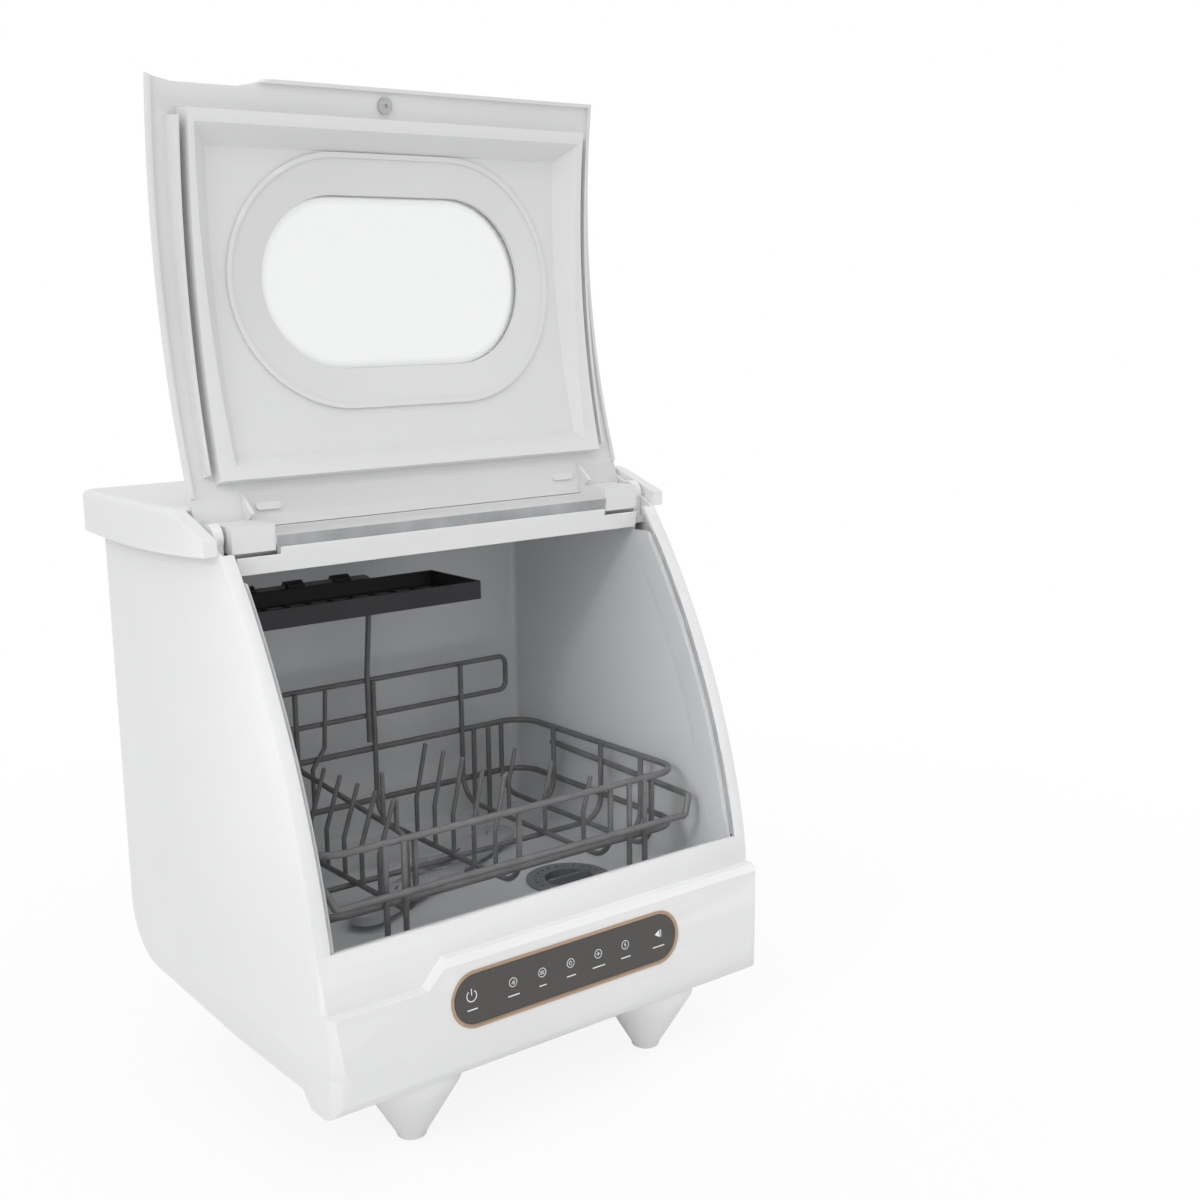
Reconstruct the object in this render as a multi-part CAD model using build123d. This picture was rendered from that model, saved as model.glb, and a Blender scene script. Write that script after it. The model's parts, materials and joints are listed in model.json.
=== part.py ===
"""Countertop dishwasher: curved lift-up lid, wire rack, spray arm and the machinery under the tub.

Millimetres. +Z is up, -Y is the front, +X is the right-hand side seen from the front.
z = 0 is the surface that the four feet stand on, x = 0 the middle of the width and
y = 0 the middle of the depth. The lid is drawn closed and then swung to its open rest.
"""
import math
import os

from build123d import *

# ---------------------------------------------------------------- driving dimensions
# Widths, from the inside of the tub outwards
tub_half_width = 194.0         # inner face of the tub's side walls
tub_wall = 2.2
seam = 2.3                     # between the tub and the flange of a side panel
gasket_gap = 0.2               # free space on each side of the strip in the seam
flange_width = 11.5
body_half_width = tub_half_width + tub_wall + seam + flange_width
cover_overhang = 11.5          # top cover beyond the side panels
lid_side_inset = 3.2           # lid inside the side panels

# Casing
front_y = -190.0               # front face of the lower front panel, at the base seam
back_y = 166.0                 # outer face of the rear panel
base_seam_z = 91.0             # joint between the base tray and the panels
skin = 2.5                     # wall of the moulded casing
front_skin = 3.0               # wall of the front panel and the flanges
fit = 0.3                      # gap between pieces that are assembled side by side
front_corner_radius = 12.0     # vertical front corners, seen from above
front_return_depth = 30.0      # how far the front panel wraps round the sides

# The curved mouth: one arc, seen from the side, shared by flanges, gaskets and lid
arc_y = 482.7                  # centre of the mouth arc
arc_z = 61.3
flange_radius = 662.6          # front face of the side flanges
sill_z = 179.0                 # lower lip of the mouth

# Front panel
step_z = 155.5                 # top of the raised zone, on the right
finger_step_z = 137.0          # top of the raised zone, lowered for the fingers on the left
finger_step_end_x = -128.0     # where the lowered edge starts to climb
finger_slope_run = 20.0
raised_lean = 4.5              # how far the raised face leans back over its height

# Base tray and feet
base_bottom_z = 67.0
chin_bottom_z = 55.5
chin_depth = 40.0
chin_radius = 24.0
rear_corner_radius = 50.0
rear_corner_rise = 34.0        # centre of that radius above the base seam
base_slope_run = 147.0         # run of the base's rise to the back
foot_inset = 90.0              # middle of a foot from the side of the case
foot_x = body_half_width - foot_inset
front_foot_y = -142.0
rear_foot_y = 108.0
foot_tip_radius = 12.5
foot_slope = 0.59              # radius gained for each millimetre of height
foot_tip_height = 5.0
foot_wall = 4.0
foot_top_radius = 40.0         # above this the cone goes on straight up to the base
foot_boss_radius = 7.0
foot_boss_top_z = 86.0
screw_radius = 2.2
screw_length = 40.0
pad_radius = 8.5
pad_height = 3.0
pad_proud = 0.5

# Top cover
cover_half_width = body_half_width + cover_overhang
cover_back_y = 190.0
cover_top_z = 483.6
cover_skirt_z = 451.0          # bottom of the skirt at the back
cover_skirt_sag = 4.0
cover_front_y = 1.5            # front edge of the top, behind the open lid
cover_wall = 3.0
cover_edge_radius = 5.0
cover_corner_radius = 14.0
cheek_front_y = -50.0          # front end of the cheeks beside the lid
cheek_bottom_z = 453.0
cheek_nose_z = 465.0

# Lid
lid_offset = 6.4               # outer face of the lid in front of the flanges
lid_skin = 3.0
lid_half_width = body_half_width - lid_side_inset
lid_gap = 0.5                  # rims of the closed lid in front of the flanges
lid_edge_gap = 1.5             # free edge of the closed lid above the step
lid_end_angle = 37.3           # hinge end of the skin on the mouth arc, degrees
rim_wall = 3.0
hinge_y = -27.2
hinge_z = 463.7
open_angle = 163.8
barrel_radius = 18.0
scoop_depth = 6.5
scoop_length = 80.0
scoop_x0 = -(lid_half_width - 6.8)
scoop_x1 = scoop_x0 + scoop_length
scoop_slope = 14.0

# Knuckles and pins
ear_thickness = 8.0
ear_radius = 10.5
knuckle_gap = 3.2              # between a knuckle and the ear beside it
knuckle_length = 36.0
knuckle_x1 = body_half_width - skin - fit - ear_thickness - knuckle_gap
knuckle_x0 = knuckle_x1 - knuckle_length
knuckle_front = 16.8           # reach of the knuckle from the hinge line, in the open pose
knuckle_back = 17.8
knuckle_up = 8.3
knuckle_down = 11.7
pin_radius = 3.0
pin_clearance = 0.05
pin_length = 34.0
pin_end_gap = 0.5

# Lid liner and the ribs beside it
rib_side_gap = 1.5             # between a rib and the tub
seal_rib_wall = 2.5
seal_rib_gap = 6.0             # between a rib and the liner
liner_half_width = tub_half_width - rib_side_gap - seal_rib_wall - seal_rib_gap
liner_wall = 2.5
liner_panel_depth = 6.0        # inner face of the panel, from the inner face of the skin
liner_free_depth = 19.3        # top of the liner wall behind the flange arc, free end
liner_hinge_depth = 8.3        # the same at the hinge end
liner_end_angle = 34.5
liner_sill_gap = 1.2
dish_side_inset = 20.0         # from the edge of the liner to the foot of the dish's slopes
dish_free_inset = 26.0
dish_hinge_inset = 17.0
dish_slope = 0.95              # run of a slope for each millimetre of height
bumper_x = 144.0
bumper_angle = 36.2            # place of the bumpers on the mouth arc, degrees
bumper_length = 22.0
bumper_width = 6.0
bumper_height = 2.0

# Window
window_angle = 21.35           # middle of the window on the mouth arc, degrees
window_length = 245.0
window_height = 135.0
window_margin = 7.0            # pane beyond its opening, all round
pane_thickness = 2.6
ring_length = 306.0
ring_height = 200.0
ring_bead = 4.0
ring_bead_height = 2.4

# Header bar over the mouth
header_bottom_y = -45.0
header_bottom_z = 435.5
header_top_y = -48.2
header_top_z = 454.5
header_wall = 3.0
header_notch_z = 449.0

# Tub
tub_front_y = -144.0
tub_back_y = 140.0
tub_floor_z = 136.0
tub_ceiling_z = 435.5
tub_lip_drop = 10.0
tub_corner_radius = 6.0

# Control panel
control_x = 3.0
control_z = 120.5
control_length = 226.0
control_height = 45.0
trim_width = 2.2
trim_depth = 4.5
trim_proud = 0.8
control_glass_thickness = 3.0
board_length = control_length - 26.0
board_height = 30.0
board_thickness = 1.6

# Rack
rail_radius = 2.8
wire_radius = 2.4
tine_radius = 2.0
weld = 0.8                     # how far welded wires sink into each other
rack_side_room = 14.0
rack_half_width = tub_half_width - rack_side_room
rack_front_y = -120.0
rack_back_y = 110.0
rack_floor_z = 165.0
lower_rail_z = 183.0
upper_rail_z = 232.0
back_low_bar_z = 264.0
back_top_bar_z = 297.0
rail_corner = 26.0
left_row_x = -0.51 * rack_half_width
middle_row_x = 0.045 * rack_half_width
right_row_x = 0.58 * rack_half_width
outer_wire_x = 0.835 * rack_half_width
cross_wires = (-72.0, -16.0, 55.0)
leg_pitch = 17.0
leg_pairs = (56.0 - rack_half_width, leg_pitch), (rack_half_width - 62.0, leg_pitch)
seat_gap = 0.3

# Grip loop round the front of the rack
grip_y = -134.0
grip_z = 195.0
grip_corner_z = 211.0          # the loop climbs at its corners
grip_arm_z = 217.0
grip_cut = 7.0

# Divider with the short tines
divider_x = -0.4 * rack_half_width
divider_back_z = 228.0
divider_front_z = 214.0

# Frame of the shelf
shelf_rod_y = 95.0
shelf_rod_z = 395.0
shelf_post_x0 = -155.2
shelf_post_x1 = 2.6
shelf_rod_radius = 2.5

# Shelf
shelf_x0 = -156.0
shelf_x1 = 64.0
shelf_front_y = 10.0
shelf_height = 16.0
shelf_wall = 2.4
shelf_slat = 3.0
shelf_columns = 10
shelf_rows = 4
clip_width = 16.0
clip_places = (-120.0, -74.0, -28.0)

# Spray arm
spray_x = 0.0
spray_y = -4.0
arm_reach = 124.0
arm_width = 30.0
arm_height = 9.0
arm_bottom_z = 143.0
arm_turn = 25.0
hub_radius = 7.0
hub_foot_radius = 19.0
running_clearance = 0.05

# Sump and filter
sump_x = tub_half_width - 99.0
sump_y = -70.0
sump_radius = 43.0
sump_floor_z = 96.0
filter_radius = 24.0
filter_depth = 26.0

# Pumps and hoses
pump_y = 60.0
pump_z = 106.0
pump_radius = 24.0
pump_length = 26.0
pump_x = sump_x - 33.0
motor_radius = 21.0
motor_length = 78.0
hose_radius = 8.0
hose_wall = 2.0
drain_y = -78.0
drain_z = 108.0
drain_run_x = 58.0 - body_half_width
drain_run_y = -118.0

# Rear ports
inlet_x = 115.0 - body_half_width
inlet_port_z = 112.0
inlet_thread_radius = 13.2     # G 3/4 thread
inlet_reach = 17.0
inlet_stem_depth = 6.0
drain_spigot_radius = 9.0
drain_spigot_reach = 24.0
gland_x = body_half_width - 65.0
gland_z = 112.0
port_boss_top_z = 133.0        # flat bosses that carry the ports over the rounded corner
port_boss_left = (drain_run_x - 20.0, inlet_x + 23.0)
port_boss_right = (gland_x - 18.0, gland_x + 18.0)

# Drying fan on the roof of the tub
fan_x = 89.0 - tub_half_width
fan_y = 85.0
fan_size = 84.0
fan_height = 26.0
fan_wall = 2.5
fan_shaft_radius = 3.0
impeller_radius = 31.0

# ---------------------------------------------------------------- derived values
lid_radius = flange_radius + lid_offset
lid_inner_radius = lid_radius - lid_skin
panel_radius = lid_inner_radius - liner_panel_depth
tip_z = step_z + lid_edge_gap
tip_angle = math.degrees(math.asin((tip_z - arc_z) / lid_radius))
liner_start_angle = math.degrees(math.asin((sill_z + liner_sill_gap - arc_z) / flange_radius))
side_inner_x = body_half_width - skin
tub_outer_half = tub_half_width + tub_wall
tub_top_z = tub_ceiling_z + tub_wall
tub_lip_z = sill_z - tub_lip_drop
cover_under_z = cover_top_z - cover_wall
rear_corner_y = back_y - rear_corner_radius
rear_corner_z = base_seam_z + rear_corner_rise
base_flat_end_y = rear_corner_y - base_slope_run
cross_wire_z = rack_floor_z - 2 * wire_radius + weld
riser_lay = rail_radius + wire_radius - weld   # middle of a wire from the middle of its rail
far = 900.0


# ---------------------------------------------------------------- helpers
def on_arc(radius, angle):
    """Point (y, z) on a circle about the centre of the mouth arc; the angle is from level."""
    a = math.radians(angle)
    return (arc_y - radius * math.cos(a), arc_z + radius * math.sin(a))


def arc_at_z(radius, z):
    """Y of the front of such a circle at a height."""
    return arc_y - math.sqrt(radius ** 2 - (z - arc_z) ** 2)


def slab(face, x0, x1):
    """Push a face drawn in (y, z) from x0 to x1."""
    return extrude(Plane.YZ.offset(x0) * face, x1 - x0)


def block(x0, x1, y0, y1, z0, z1):
    """Box between two corners."""
    return Pos((x0 + x1) / 2, (y0 + y1) / 2, (z0 + z1) / 2) * Box(x1 - x0, y1 - y0, z1 - z0)


def drum(x0, x1, radius, y=None, z=None):
    """Cylinder along X about the mouth centre, or about (y, z)."""
    y = arc_y if y is None else y
    z = arc_z if z is None else z
    return slab(Pos(y, z) * Circle(radius), x0, x1)


def post(x, y, z0, z1, radius):
    """Upright cylinder."""
    return Pos(x, y, (z0 + z1) / 2) * Cylinder(radius, z1 - z0)


def shell(x0, x1, inner, outer):
    """Curved sheet between two radii of the mouth arc."""
    return drum(x0, x1, outer) - drum(x0 - 1, x1 + 1, inner)


def wedge(angle0, angle1, x0, x1):
    """Sector of the mouth arc between two angles."""
    points = [(arc_y, arc_z), on_arc(far, angle0), on_arc(far, (angle0 + angle1) / 2), on_arc(far, angle1)]
    return slab(make_face(Polyline(*points, close=True)), x0, x1)


def along_y(x, z, y0, y1, radius):
    """Cylinder along Y."""
    return Pos(x, (y0 + y1) / 2, z) * Rot(90, 0, 0) * Cylinder(radius, y1 - y0)


def open_lid(shape):
    """Swing a piece of the closed lid to the open rest."""
    return shape.rotate(Axis((0, hinge_y, hinge_z), (1, 0, 0)), -open_angle)


def wire(points, radius, bend):
    """Round wire along straight runs and tangent bends."""
    if len(points) > 2:
        path = FilletPolyline(*points, radius=bend)
    else:
        path = Line(*points)
    section = Plane(origin=path @ 0, z_dir=path % 0) * Circle(radius)
    return sweep(section, path=path)


def tube(points, outer, inner, bend):
    """Hose along straight runs and tangent bends."""
    return wire(points, outer, bend) - wire(points, inner, bend)


def save(name, shape):
    export_step(shape, "parts/" + name + ".step")


def group(*shapes):
    """Separate solids that share one file."""
    return Compound(children=[solid for shape in shapes for solid in shape.solids()])


# ---------------------------------------------------------------- casing
def side_face():
    """Outline of a side panel: mouth arc in front, big radius at the lower back corner."""
    return_y = front_y + front_return_depth
    lip = (arc_at_z(flange_radius, sill_z), sill_z)
    nose = (arc_at_z(flange_radius, cheek_bottom_z), cheek_bottom_z)
    middle_z = (sill_z + cheek_bottom_z) / 2
    crown = (cover_front_y + 3, cover_under_z)
    level = (back_y, rear_corner_z)
    low = (rear_corner_y + rear_corner_run(0.0), base_seam_z)
    half_turn = math.asin(rear_corner_rise / rear_corner_radius) / 2
    bend = (rear_corner_y + rear_corner_radius * math.cos(half_turn),
            rear_corner_z - rear_corner_radius * math.sin(half_turn))
    return make_face([
        Line((return_y, base_seam_z), (return_y, sill_z)),
        Line((return_y, sill_z), lip),
        ThreePointArc(lip, (arc_at_z(flange_radius, middle_z), middle_z), nose),
        Line(nose, crown),
        Line(crown, (back_y, cover_under_z)),
        Line((back_y, cover_under_z), level),
        ThreePointArc(level, bend, low),
        Line(low, (return_y, base_seam_z)),
    ])


def rear_corner_run(inset):
    """How far the rounded back corner reaches past its centre at the base seam."""
    return math.sqrt((rear_corner_radius - inset) ** 2 - rear_corner_rise ** 2)


def side_panel(hand):
    """Moulded side with the flange that the closed lid meets."""
    face = side_face()
    wall = slab(face, side_inner_x, body_half_width)
    flange_inner_x = body_half_width - flange_width
    flange = shell(flange_inner_x, body_half_width, flange_radius - front_skin, flange_radius)
    flange = flange & block(0, far, -far, cover_front_y, sill_z, cheek_bottom_z)
    panel = wall + flange
    return panel if hand > 0 else panel.mirror(Plane.YZ)


def rear_panel():
    """Back sheet: follows the lower back radius, with vents and holes for the ports."""
    outer = slab(side_face(), -side_inner_x + fit, side_inner_x - fit)
    inner_face = offset(side_face(), -front_skin)
    sheet = outer - slab(inner_face, -far / 2, far / 2)
    sheet = sheet & block(-far, far, rear_corner_y + 2, far, base_seam_z, far)
    sheet = sheet - block(-far, far, 0, back_y - front_skin, base_seam_z + 60, far)
    toe_y = rear_corner_y + rear_corner_run(front_skin)
    sheet = sheet - block(-far, far, 0, toe_y, 0, base_seam_z + 10)
    for x0, x1 in (port_boss_left, port_boss_right):
        sheet += block(x0, x1, toe_y, back_y, base_seam_z, port_boss_top_z)
        sheet -= block(x0 + front_skin, x1 - front_skin, 0, back_y - front_skin,
                       base_seam_z + front_skin, port_boss_top_z)
    vent_length = 46.0
    vent_pitch = 9.0
    for column in (-150.0, -95.0, -40.0, 95.0, 150.0):
        for row in range(6):
            z = cover_skirt_z - 30 - row * vent_pitch
            slot = Pos(column, back_y, z) * Rot(90, 0, 0) * SlotOverall(vent_length, 3.6)
            sheet -= extrude(slot, 12, both=True)
    for x, z, radius in ((inlet_x, inlet_port_z, inlet_thread_radius + 1),
                         (drain_run_x, drain_z, drain_spigot_radius + 1),
                         (gland_x, gland_z, 8.0)):
        sheet -= Pos(x, back_y - 10, z) * Rot(90, 0, 0) * Cylinder(radius, 60)
    return sheet


def front_block(inset):
    """Body of the front panel, shrunk by a wall thickness."""
    half = body_half_width - inset
    back = front_y + front_return_depth + inset
    low = base_seam_z - 3 * inset
    top = sill_z + 3 * inset
    radius = flange_radius - inset
    middle_z = (base_seam_z + sill_z) / 2
    recess = make_face([
        Line((arc_at_z(radius, low), low), (back, low)),
        Line((back, low), (back, top)),
        Line((back, top), (arc_at_z(radius, top), top)),
        ThreePointArc((arc_at_z(radius, top), top), (arc_at_z(radius, middle_z), middle_z),
                      (arc_at_z(radius, low), low)),
    ])
    upper = slab(recess, -half, half)
    upper = upper & plan_round(arc_at_z(flange_radius, base_seam_z) + inset, back, half, low, top)
    face_y = front_y + inset
    crown_z = step_z - inset
    crown_y = face_y + raised_lean
    bull = 5.0
    raised = make_face([
        Line((face_y, low), (crown_y, crown_z - bull)),
        Line((crown_y, crown_z - bull), (crown_y + bull, crown_z)),
        Line((crown_y + bull, crown_z), (back, crown_z)),
        Line((back, crown_z), (back, low)),
        Line((back, low), (face_y, low)),
    ])
    lower = slab(raised, -half, half)
    slope_end = finger_step_end_x + finger_slope_run
    mask = Polyline(
        (-half, low), (half, low), (half, crown_z), (slope_end + inset, crown_z),
        (finger_step_end_x + inset, finger_step_z - inset), (-half, finger_step_z - inset), close=True)
    lower = lower & extrude(Plane.XZ.offset(-back) * make_face(mask), 60)
    lower = lower & plan_round(face_y, back, half, low, crown_z)
    return upper + lower


def plan_round(y0, y1, half, z0, z1):
    """Upright prism with rounded front corners."""
    radius = front_corner_radius
    depth = y1 - y0 + 4 * radius
    rounded = Pos(0, y0 + depth / 2, z0) * RectangleRounded(2 * half, depth, radius)
    return extrude(rounded, z1 - z0) & block(-half, half, y0, y1, z0, z1)


def front_panel():
    """Lower front with the raised zone, the finger step and the hole for the controls."""
    panel = front_block(0.0) - front_block(front_skin)
    hole = control_slot(control_length - 2 * trim_width + 1.0, control_height - 2 * trim_width + 1.0)
    return panel - extrude(control_plane(0) * hole, 20, both=True)


def front_face_tilt():
    return math.degrees(math.atan2(raised_lean, step_z - base_seam_z - 5))


def control_plane(depth):
    """Plane of the raised face at the control panel; depth goes into the panel."""
    tilt = math.radians(front_face_tilt())
    y = front_y + (control_z - base_seam_z) * math.tan(tilt)
    normal = Vector(0, -math.cos(tilt), math.sin(tilt))
    origin = Vector(control_x, y, control_z) - normal * depth
    return Plane(origin=origin, x_dir=(1, 0, 0), z_dir=normal)


def control_slot(length, height):
    return SlotOverall(length, height)


def control_trim():
    """Metal ring round the glass: a thin bezel with a collar in the hole."""
    hole_length = control_length - 2 * trim_width
    hole_height = control_height - 2 * trim_width
    bezel = control_slot(control_length, control_height) - control_slot(hole_length, hole_height)
    collar_out = control_slot(hole_length + 0.6, hole_height + 0.6)
    collar = collar_out - control_slot(hole_length - 1.6, hole_height - 1.6)
    face = extrude(control_plane(-0.02) * bezel, trim_proud)
    neck = extrude(control_plane(trim_depth) * collar, trim_depth + 0.3)
    return face + neck


def control_window():
    """Dark touch glass inside the ring."""
    glass = control_slot(control_length - 2 * trim_width - 2.0, control_height - 2 * trim_width - 2.0)
    return extrude(control_plane(control_glass_thickness) * glass, control_glass_thickness + 0.3)


def control_board():
    """Touch board clipped behind the glass, with its chips."""
    board = control_plane(control_glass_thickness + board_thickness)
    sheet = extrude(board * Rectangle(board_length, board_height), board_thickness)
    chips = [Pos(share * board_length, 4, -1.2) * Box(14, 9, 2.4) for share in (-0.3, 0, 0.3)]
    plug = Pos(board_length / 2 - 12, -6, -3) * Box(12, 8, 6)
    return sheet + [board * piece for piece in chips + [plug]]


def base_face(inset):
    """Side outline of the base tray, shrunk by the wall."""
    top = base_seam_z
    front = front_y + inset
    chin = chin_bottom_z + inset
    bottom = base_bottom_z + inset
    radius = chin_radius - inset
    big = rear_corner_radius - inset
    end_y = rear_corner_y + rear_corner_run(inset)
    turn = math.radians(25)
    bend = (rear_corner_y + big * math.sin(turn), rear_corner_z - big * math.cos(turn))
    diagonal = radius * math.sqrt(0.5)
    centre = (front + radius, chin + radius)
    chin_end = front_y + chin_depth - inset
    return make_face([
        Line((front, top), (front, centre[1])),
        ThreePointArc((front, centre[1]), (centre[0] - diagonal, centre[1] - diagonal), (centre[0], chin)),
        Line((centre[0], chin), (chin_end, chin)),
        Line((chin_end, chin), (chin_end + 12, bottom)),
        Line((chin_end + 12, bottom), (base_flat_end_y, bottom)),
        Line((base_flat_end_y, bottom), (rear_corner_y, rear_corner_z - big)),
        ThreePointArc((rear_corner_y, rear_corner_z - big), bend, (end_y, top)),
        Line((end_y, top), (front, top)),
    ])


def base_tray():
    """Tray that carries the machinery; open at the top, with bosses over the feet."""
    outer = slab(base_face(0.0), -body_half_width, body_half_width)
    outer = outer & plan_round(front_y, back_y, body_half_width, chin_bottom_z, base_seam_z)
    inner = slab(base_face(front_skin), -body_half_width + front_skin, body_half_width - front_skin)
    inner = inner & plan_round(front_y + front_skin, back_y, body_half_width - front_skin,
                               chin_bottom_z, base_seam_z)
    tray = outer - inner
    for x in (-foot_x, foot_x):
        for y in (front_foot_y, rear_foot_y):
            tray += post(x, y, 40, foot_boss_top_z, foot_boss_radius) & inner
            tray -= post(x, y, 40, 110, screw_radius + running_clearance)
    return tray


def foot_under(x, y):
    """Solid cone under the base; it stops at the underside of the tray."""
    tip = foot_tip_radius
    high = base_seam_z
    profile = Polyline(
        (0, pad_proud), (tip - 4, pad_proud), (tip - 1, pad_proud + 1.2), (tip, foot_tip_height),
        (tip + foot_slope * (high - foot_tip_height), high), (0, high), close=True)
    cone = revolve(Plane.XZ * make_face(profile), Axis.Z)
    cone = Pos(x, y, 0) * cone
    whole_base = slab(base_face(0.0), -body_half_width, body_half_width)
    cone = cone & post(x, y, 0, far, foot_top_radius)
    above = block(-far, far, -far, far, base_seam_z, far)
    low = foot_tip_height + 9
    room = Polyline(
        (0, low), (tip + foot_slope * (low - foot_tip_height) - foot_wall, low),
        (tip + foot_slope * (high - foot_tip_height) - foot_wall, high), (0, high), close=True)
    room = Pos(x, y, 0) * revolve(Plane.XZ * make_face(room), Axis.Z)
    room = room & post(x, y, 0, far, foot_top_radius - foot_wall)
    room = room - post(x, y, 0, far, foot_boss_radius)
    cone = largest(cone - room - whole_base - above)
    cone = cone - post(x, y, pad_proud - 1, pad_proud + pad_height, pad_radius)
    return cone - post(x, y, foot_boss_top_z - screw_length - 2, 90, screw_radius + running_clearance)


def foot_pad(x, y):
    return post(x, y, 0, pad_proud + pad_height, pad_radius - 0.05)


def foot_screw(x, y):
    """Screw from inside the tray down into the post of a foot."""
    shank = post(x, y, foot_boss_top_z - screw_length, foot_boss_top_z + 1, screw_radius)
    head = post(x, y, foot_boss_top_z, foot_boss_top_z + 3, 2 * screw_radius)
    cross = block(x - 2.6, x + 2.6, y - 0.6, y + 0.6, foot_boss_top_z + 1.5, foot_boss_top_z + 5)
    cross += block(x - 0.6, x + 0.6, y - 2.6, y + 2.6, foot_boss_top_z + 1.5, foot_boss_top_z + 5)
    return shank + head - cross


def top_cover():
    """Lid-side cover: overhanging skirt, rounded top edge and cheeks beside the lid."""
    cover = cover_body(0.0) - cover_body(cover_wall)
    for side in (-1, 1):
        x0, x1 = sorted((side * (side_inner_x - fit), side * (body_half_width + fit)))
        cover -= block(x0, x1, cover_front_y - 1, cover_front_y + cover_wall + fit, 0, cover_under_z)
    return cover


def cover_body(inset):
    half = cover_half_width - inset
    back = cover_back_y - inset
    top = cover_top_z - inset
    low = -3 * inset
    nose_y = cheek_front_y + inset
    skirt_mid = ((cheek_front_y + cover_back_y) / 2, cover_skirt_z - cover_skirt_sag + low)
    crown = (cover_front_y + 3 + inset * 0.4, top)
    face = make_face([
        Line((nose_y, cheek_bottom_z + low), (nose_y, cheek_nose_z - inset * 0.6)),
        Line((nose_y, cheek_nose_z - inset * 0.6), crown),
        Line(crown, (back, top)),
        Line((back, top), (back, cover_skirt_z + low)),
        ThreePointArc((back, cover_skirt_z + low), skirt_mid, (nose_y, cheek_bottom_z + low)),
    ])
    body = slab(face, -half, half)
    upright = body.edges().filter_by(Axis.Z).sort_by(Axis.Y)[-2:]
    body = fillet(upright, cover_corner_radius - inset)
    rim = body.faces().sort_by(Axis.Z)[-1].edges().filter_by(lambda e: e.center().Y > crown[0] + 1)
    body = fillet(rim, cover_edge_radius - inset * 0.6)
    notch_half = body_half_width + 0.7 + inset
    notch_back = cover_front_y + inset
    return body - block(-notch_half, notch_half, -far, notch_back, 0, far)


# ---------------------------------------------------------------- mouth
def header_bar():
    """Bar across the top of the mouth, with notches for the lid knuckles."""
    half = tub_half_width
    lean = (header_top_y - header_bottom_y) / (header_top_z - header_bottom_z)
    front = make_face(Polyline(
        (header_bottom_y, header_bottom_z), (header_bottom_y + header_wall, header_bottom_z),
        (header_bottom_y + header_wall, tub_top_z), (hinge_y + 12, tub_top_z),
        (hinge_y + 12, tub_top_z + header_wall),
        (header_bottom_y + header_wall + lean * 5, tub_top_z + header_wall),
        (header_top_y + header_wall, header_top_z), (header_top_y, header_top_z), close=True))
    bar = slab(front, -half, half)
    for side in (-1, 1):
        x0, x1 = sorted((side * (knuckle_x0 - 3), side * (half + 1)))
        bar -= block(x0, x1, -far, header_bottom_y + header_wall, header_notch_z, far)
    foot = block(-side_inner_x + fit, side_inner_x - fit, header_bottom_y + header_wall, hinge_y + 12,
                 tub_top_z, tub_top_z + header_wall)
    return bar + foot


def hinge_bracket(hand):
    """Ear on the header that holds the hinge pin."""
    x0 = side_inner_x - fit - ear_thickness
    x1 = side_inner_x - fit
    foot_z = tub_top_z + header_wall
    ear = drum(x0, x1, ear_radius, hinge_y, hinge_z)
    ear += block(x0, x1, hinge_y - 9, hinge_y + 9, foot_z, hinge_z)
    ear += block(x0, x1, header_bottom_y + header_wall + 1, hinge_y + 11, foot_z, foot_z + 3)
    ear -= drum(x0 - 1, x1 + 1, pin_radius, hinge_y, hinge_z)
    return ear if hand > 0 else ear.mirror(Plane.YZ)


def hinge_pin(hand):
    x1 = side_inner_x - fit
    pin = drum(x1 - pin_length, x1, pin_radius, hinge_y, hinge_z)
    return pin if hand > 0 else pin.mirror(Plane.YZ)


def opening_gasket(hand):
    """Rubber strip in the seam between flange and tub."""
    strip = shell(tub_outer_half + gasket_gap, tub_outer_half + seam - gasket_gap, flange_radius - 6,
                  flange_radius - 0.6)
    strip = strip & block(0, far, -far, 0, sill_z + 2, tub_ceiling_z - 6)
    return strip if hand > 0 else strip.mirror(Plane.YZ)


def tub_face(inner):
    """Side outline of the tub; the inner one runs out through the mouth."""
    grow = 0.0 if inner else tub_wall
    mouth = flange_radius - front_skin - fit
    front = tub_front_y - grow
    floor = tub_floor_z - grow
    lip = tub_lip_z - grow
    back = tub_back_y + grow
    roof = tub_ceiling_z + grow
    header_back = header_bottom_y + header_wall
    if inner:
        return make_face(Polyline(
            (front, floor), (front, lip), (front_y - 20, lip), (front_y - 20, roof), (back, roof),
            (back, floor), close=True))
    low = (arc_at_z(mouth, lip), lip)
    high_z = tub_ceiling_z - 3
    high = (arc_at_z(mouth, high_z), high_z)
    middle_z = (lip + high_z) / 2
    return make_face([
        Line((front, floor), (front, lip)),
        Line((front, lip), low),
        ThreePointArc(low, (arc_at_z(mouth, middle_z), middle_z), high),
        Line(high, (header_back, high_z)),
        Line((header_back, high_z), (header_back, roof)),
        Line((header_back, roof), (back, roof)),
        Line((back, roof), (back, floor)),
        Line((back, floor), (front, floor)),
    ])


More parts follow.
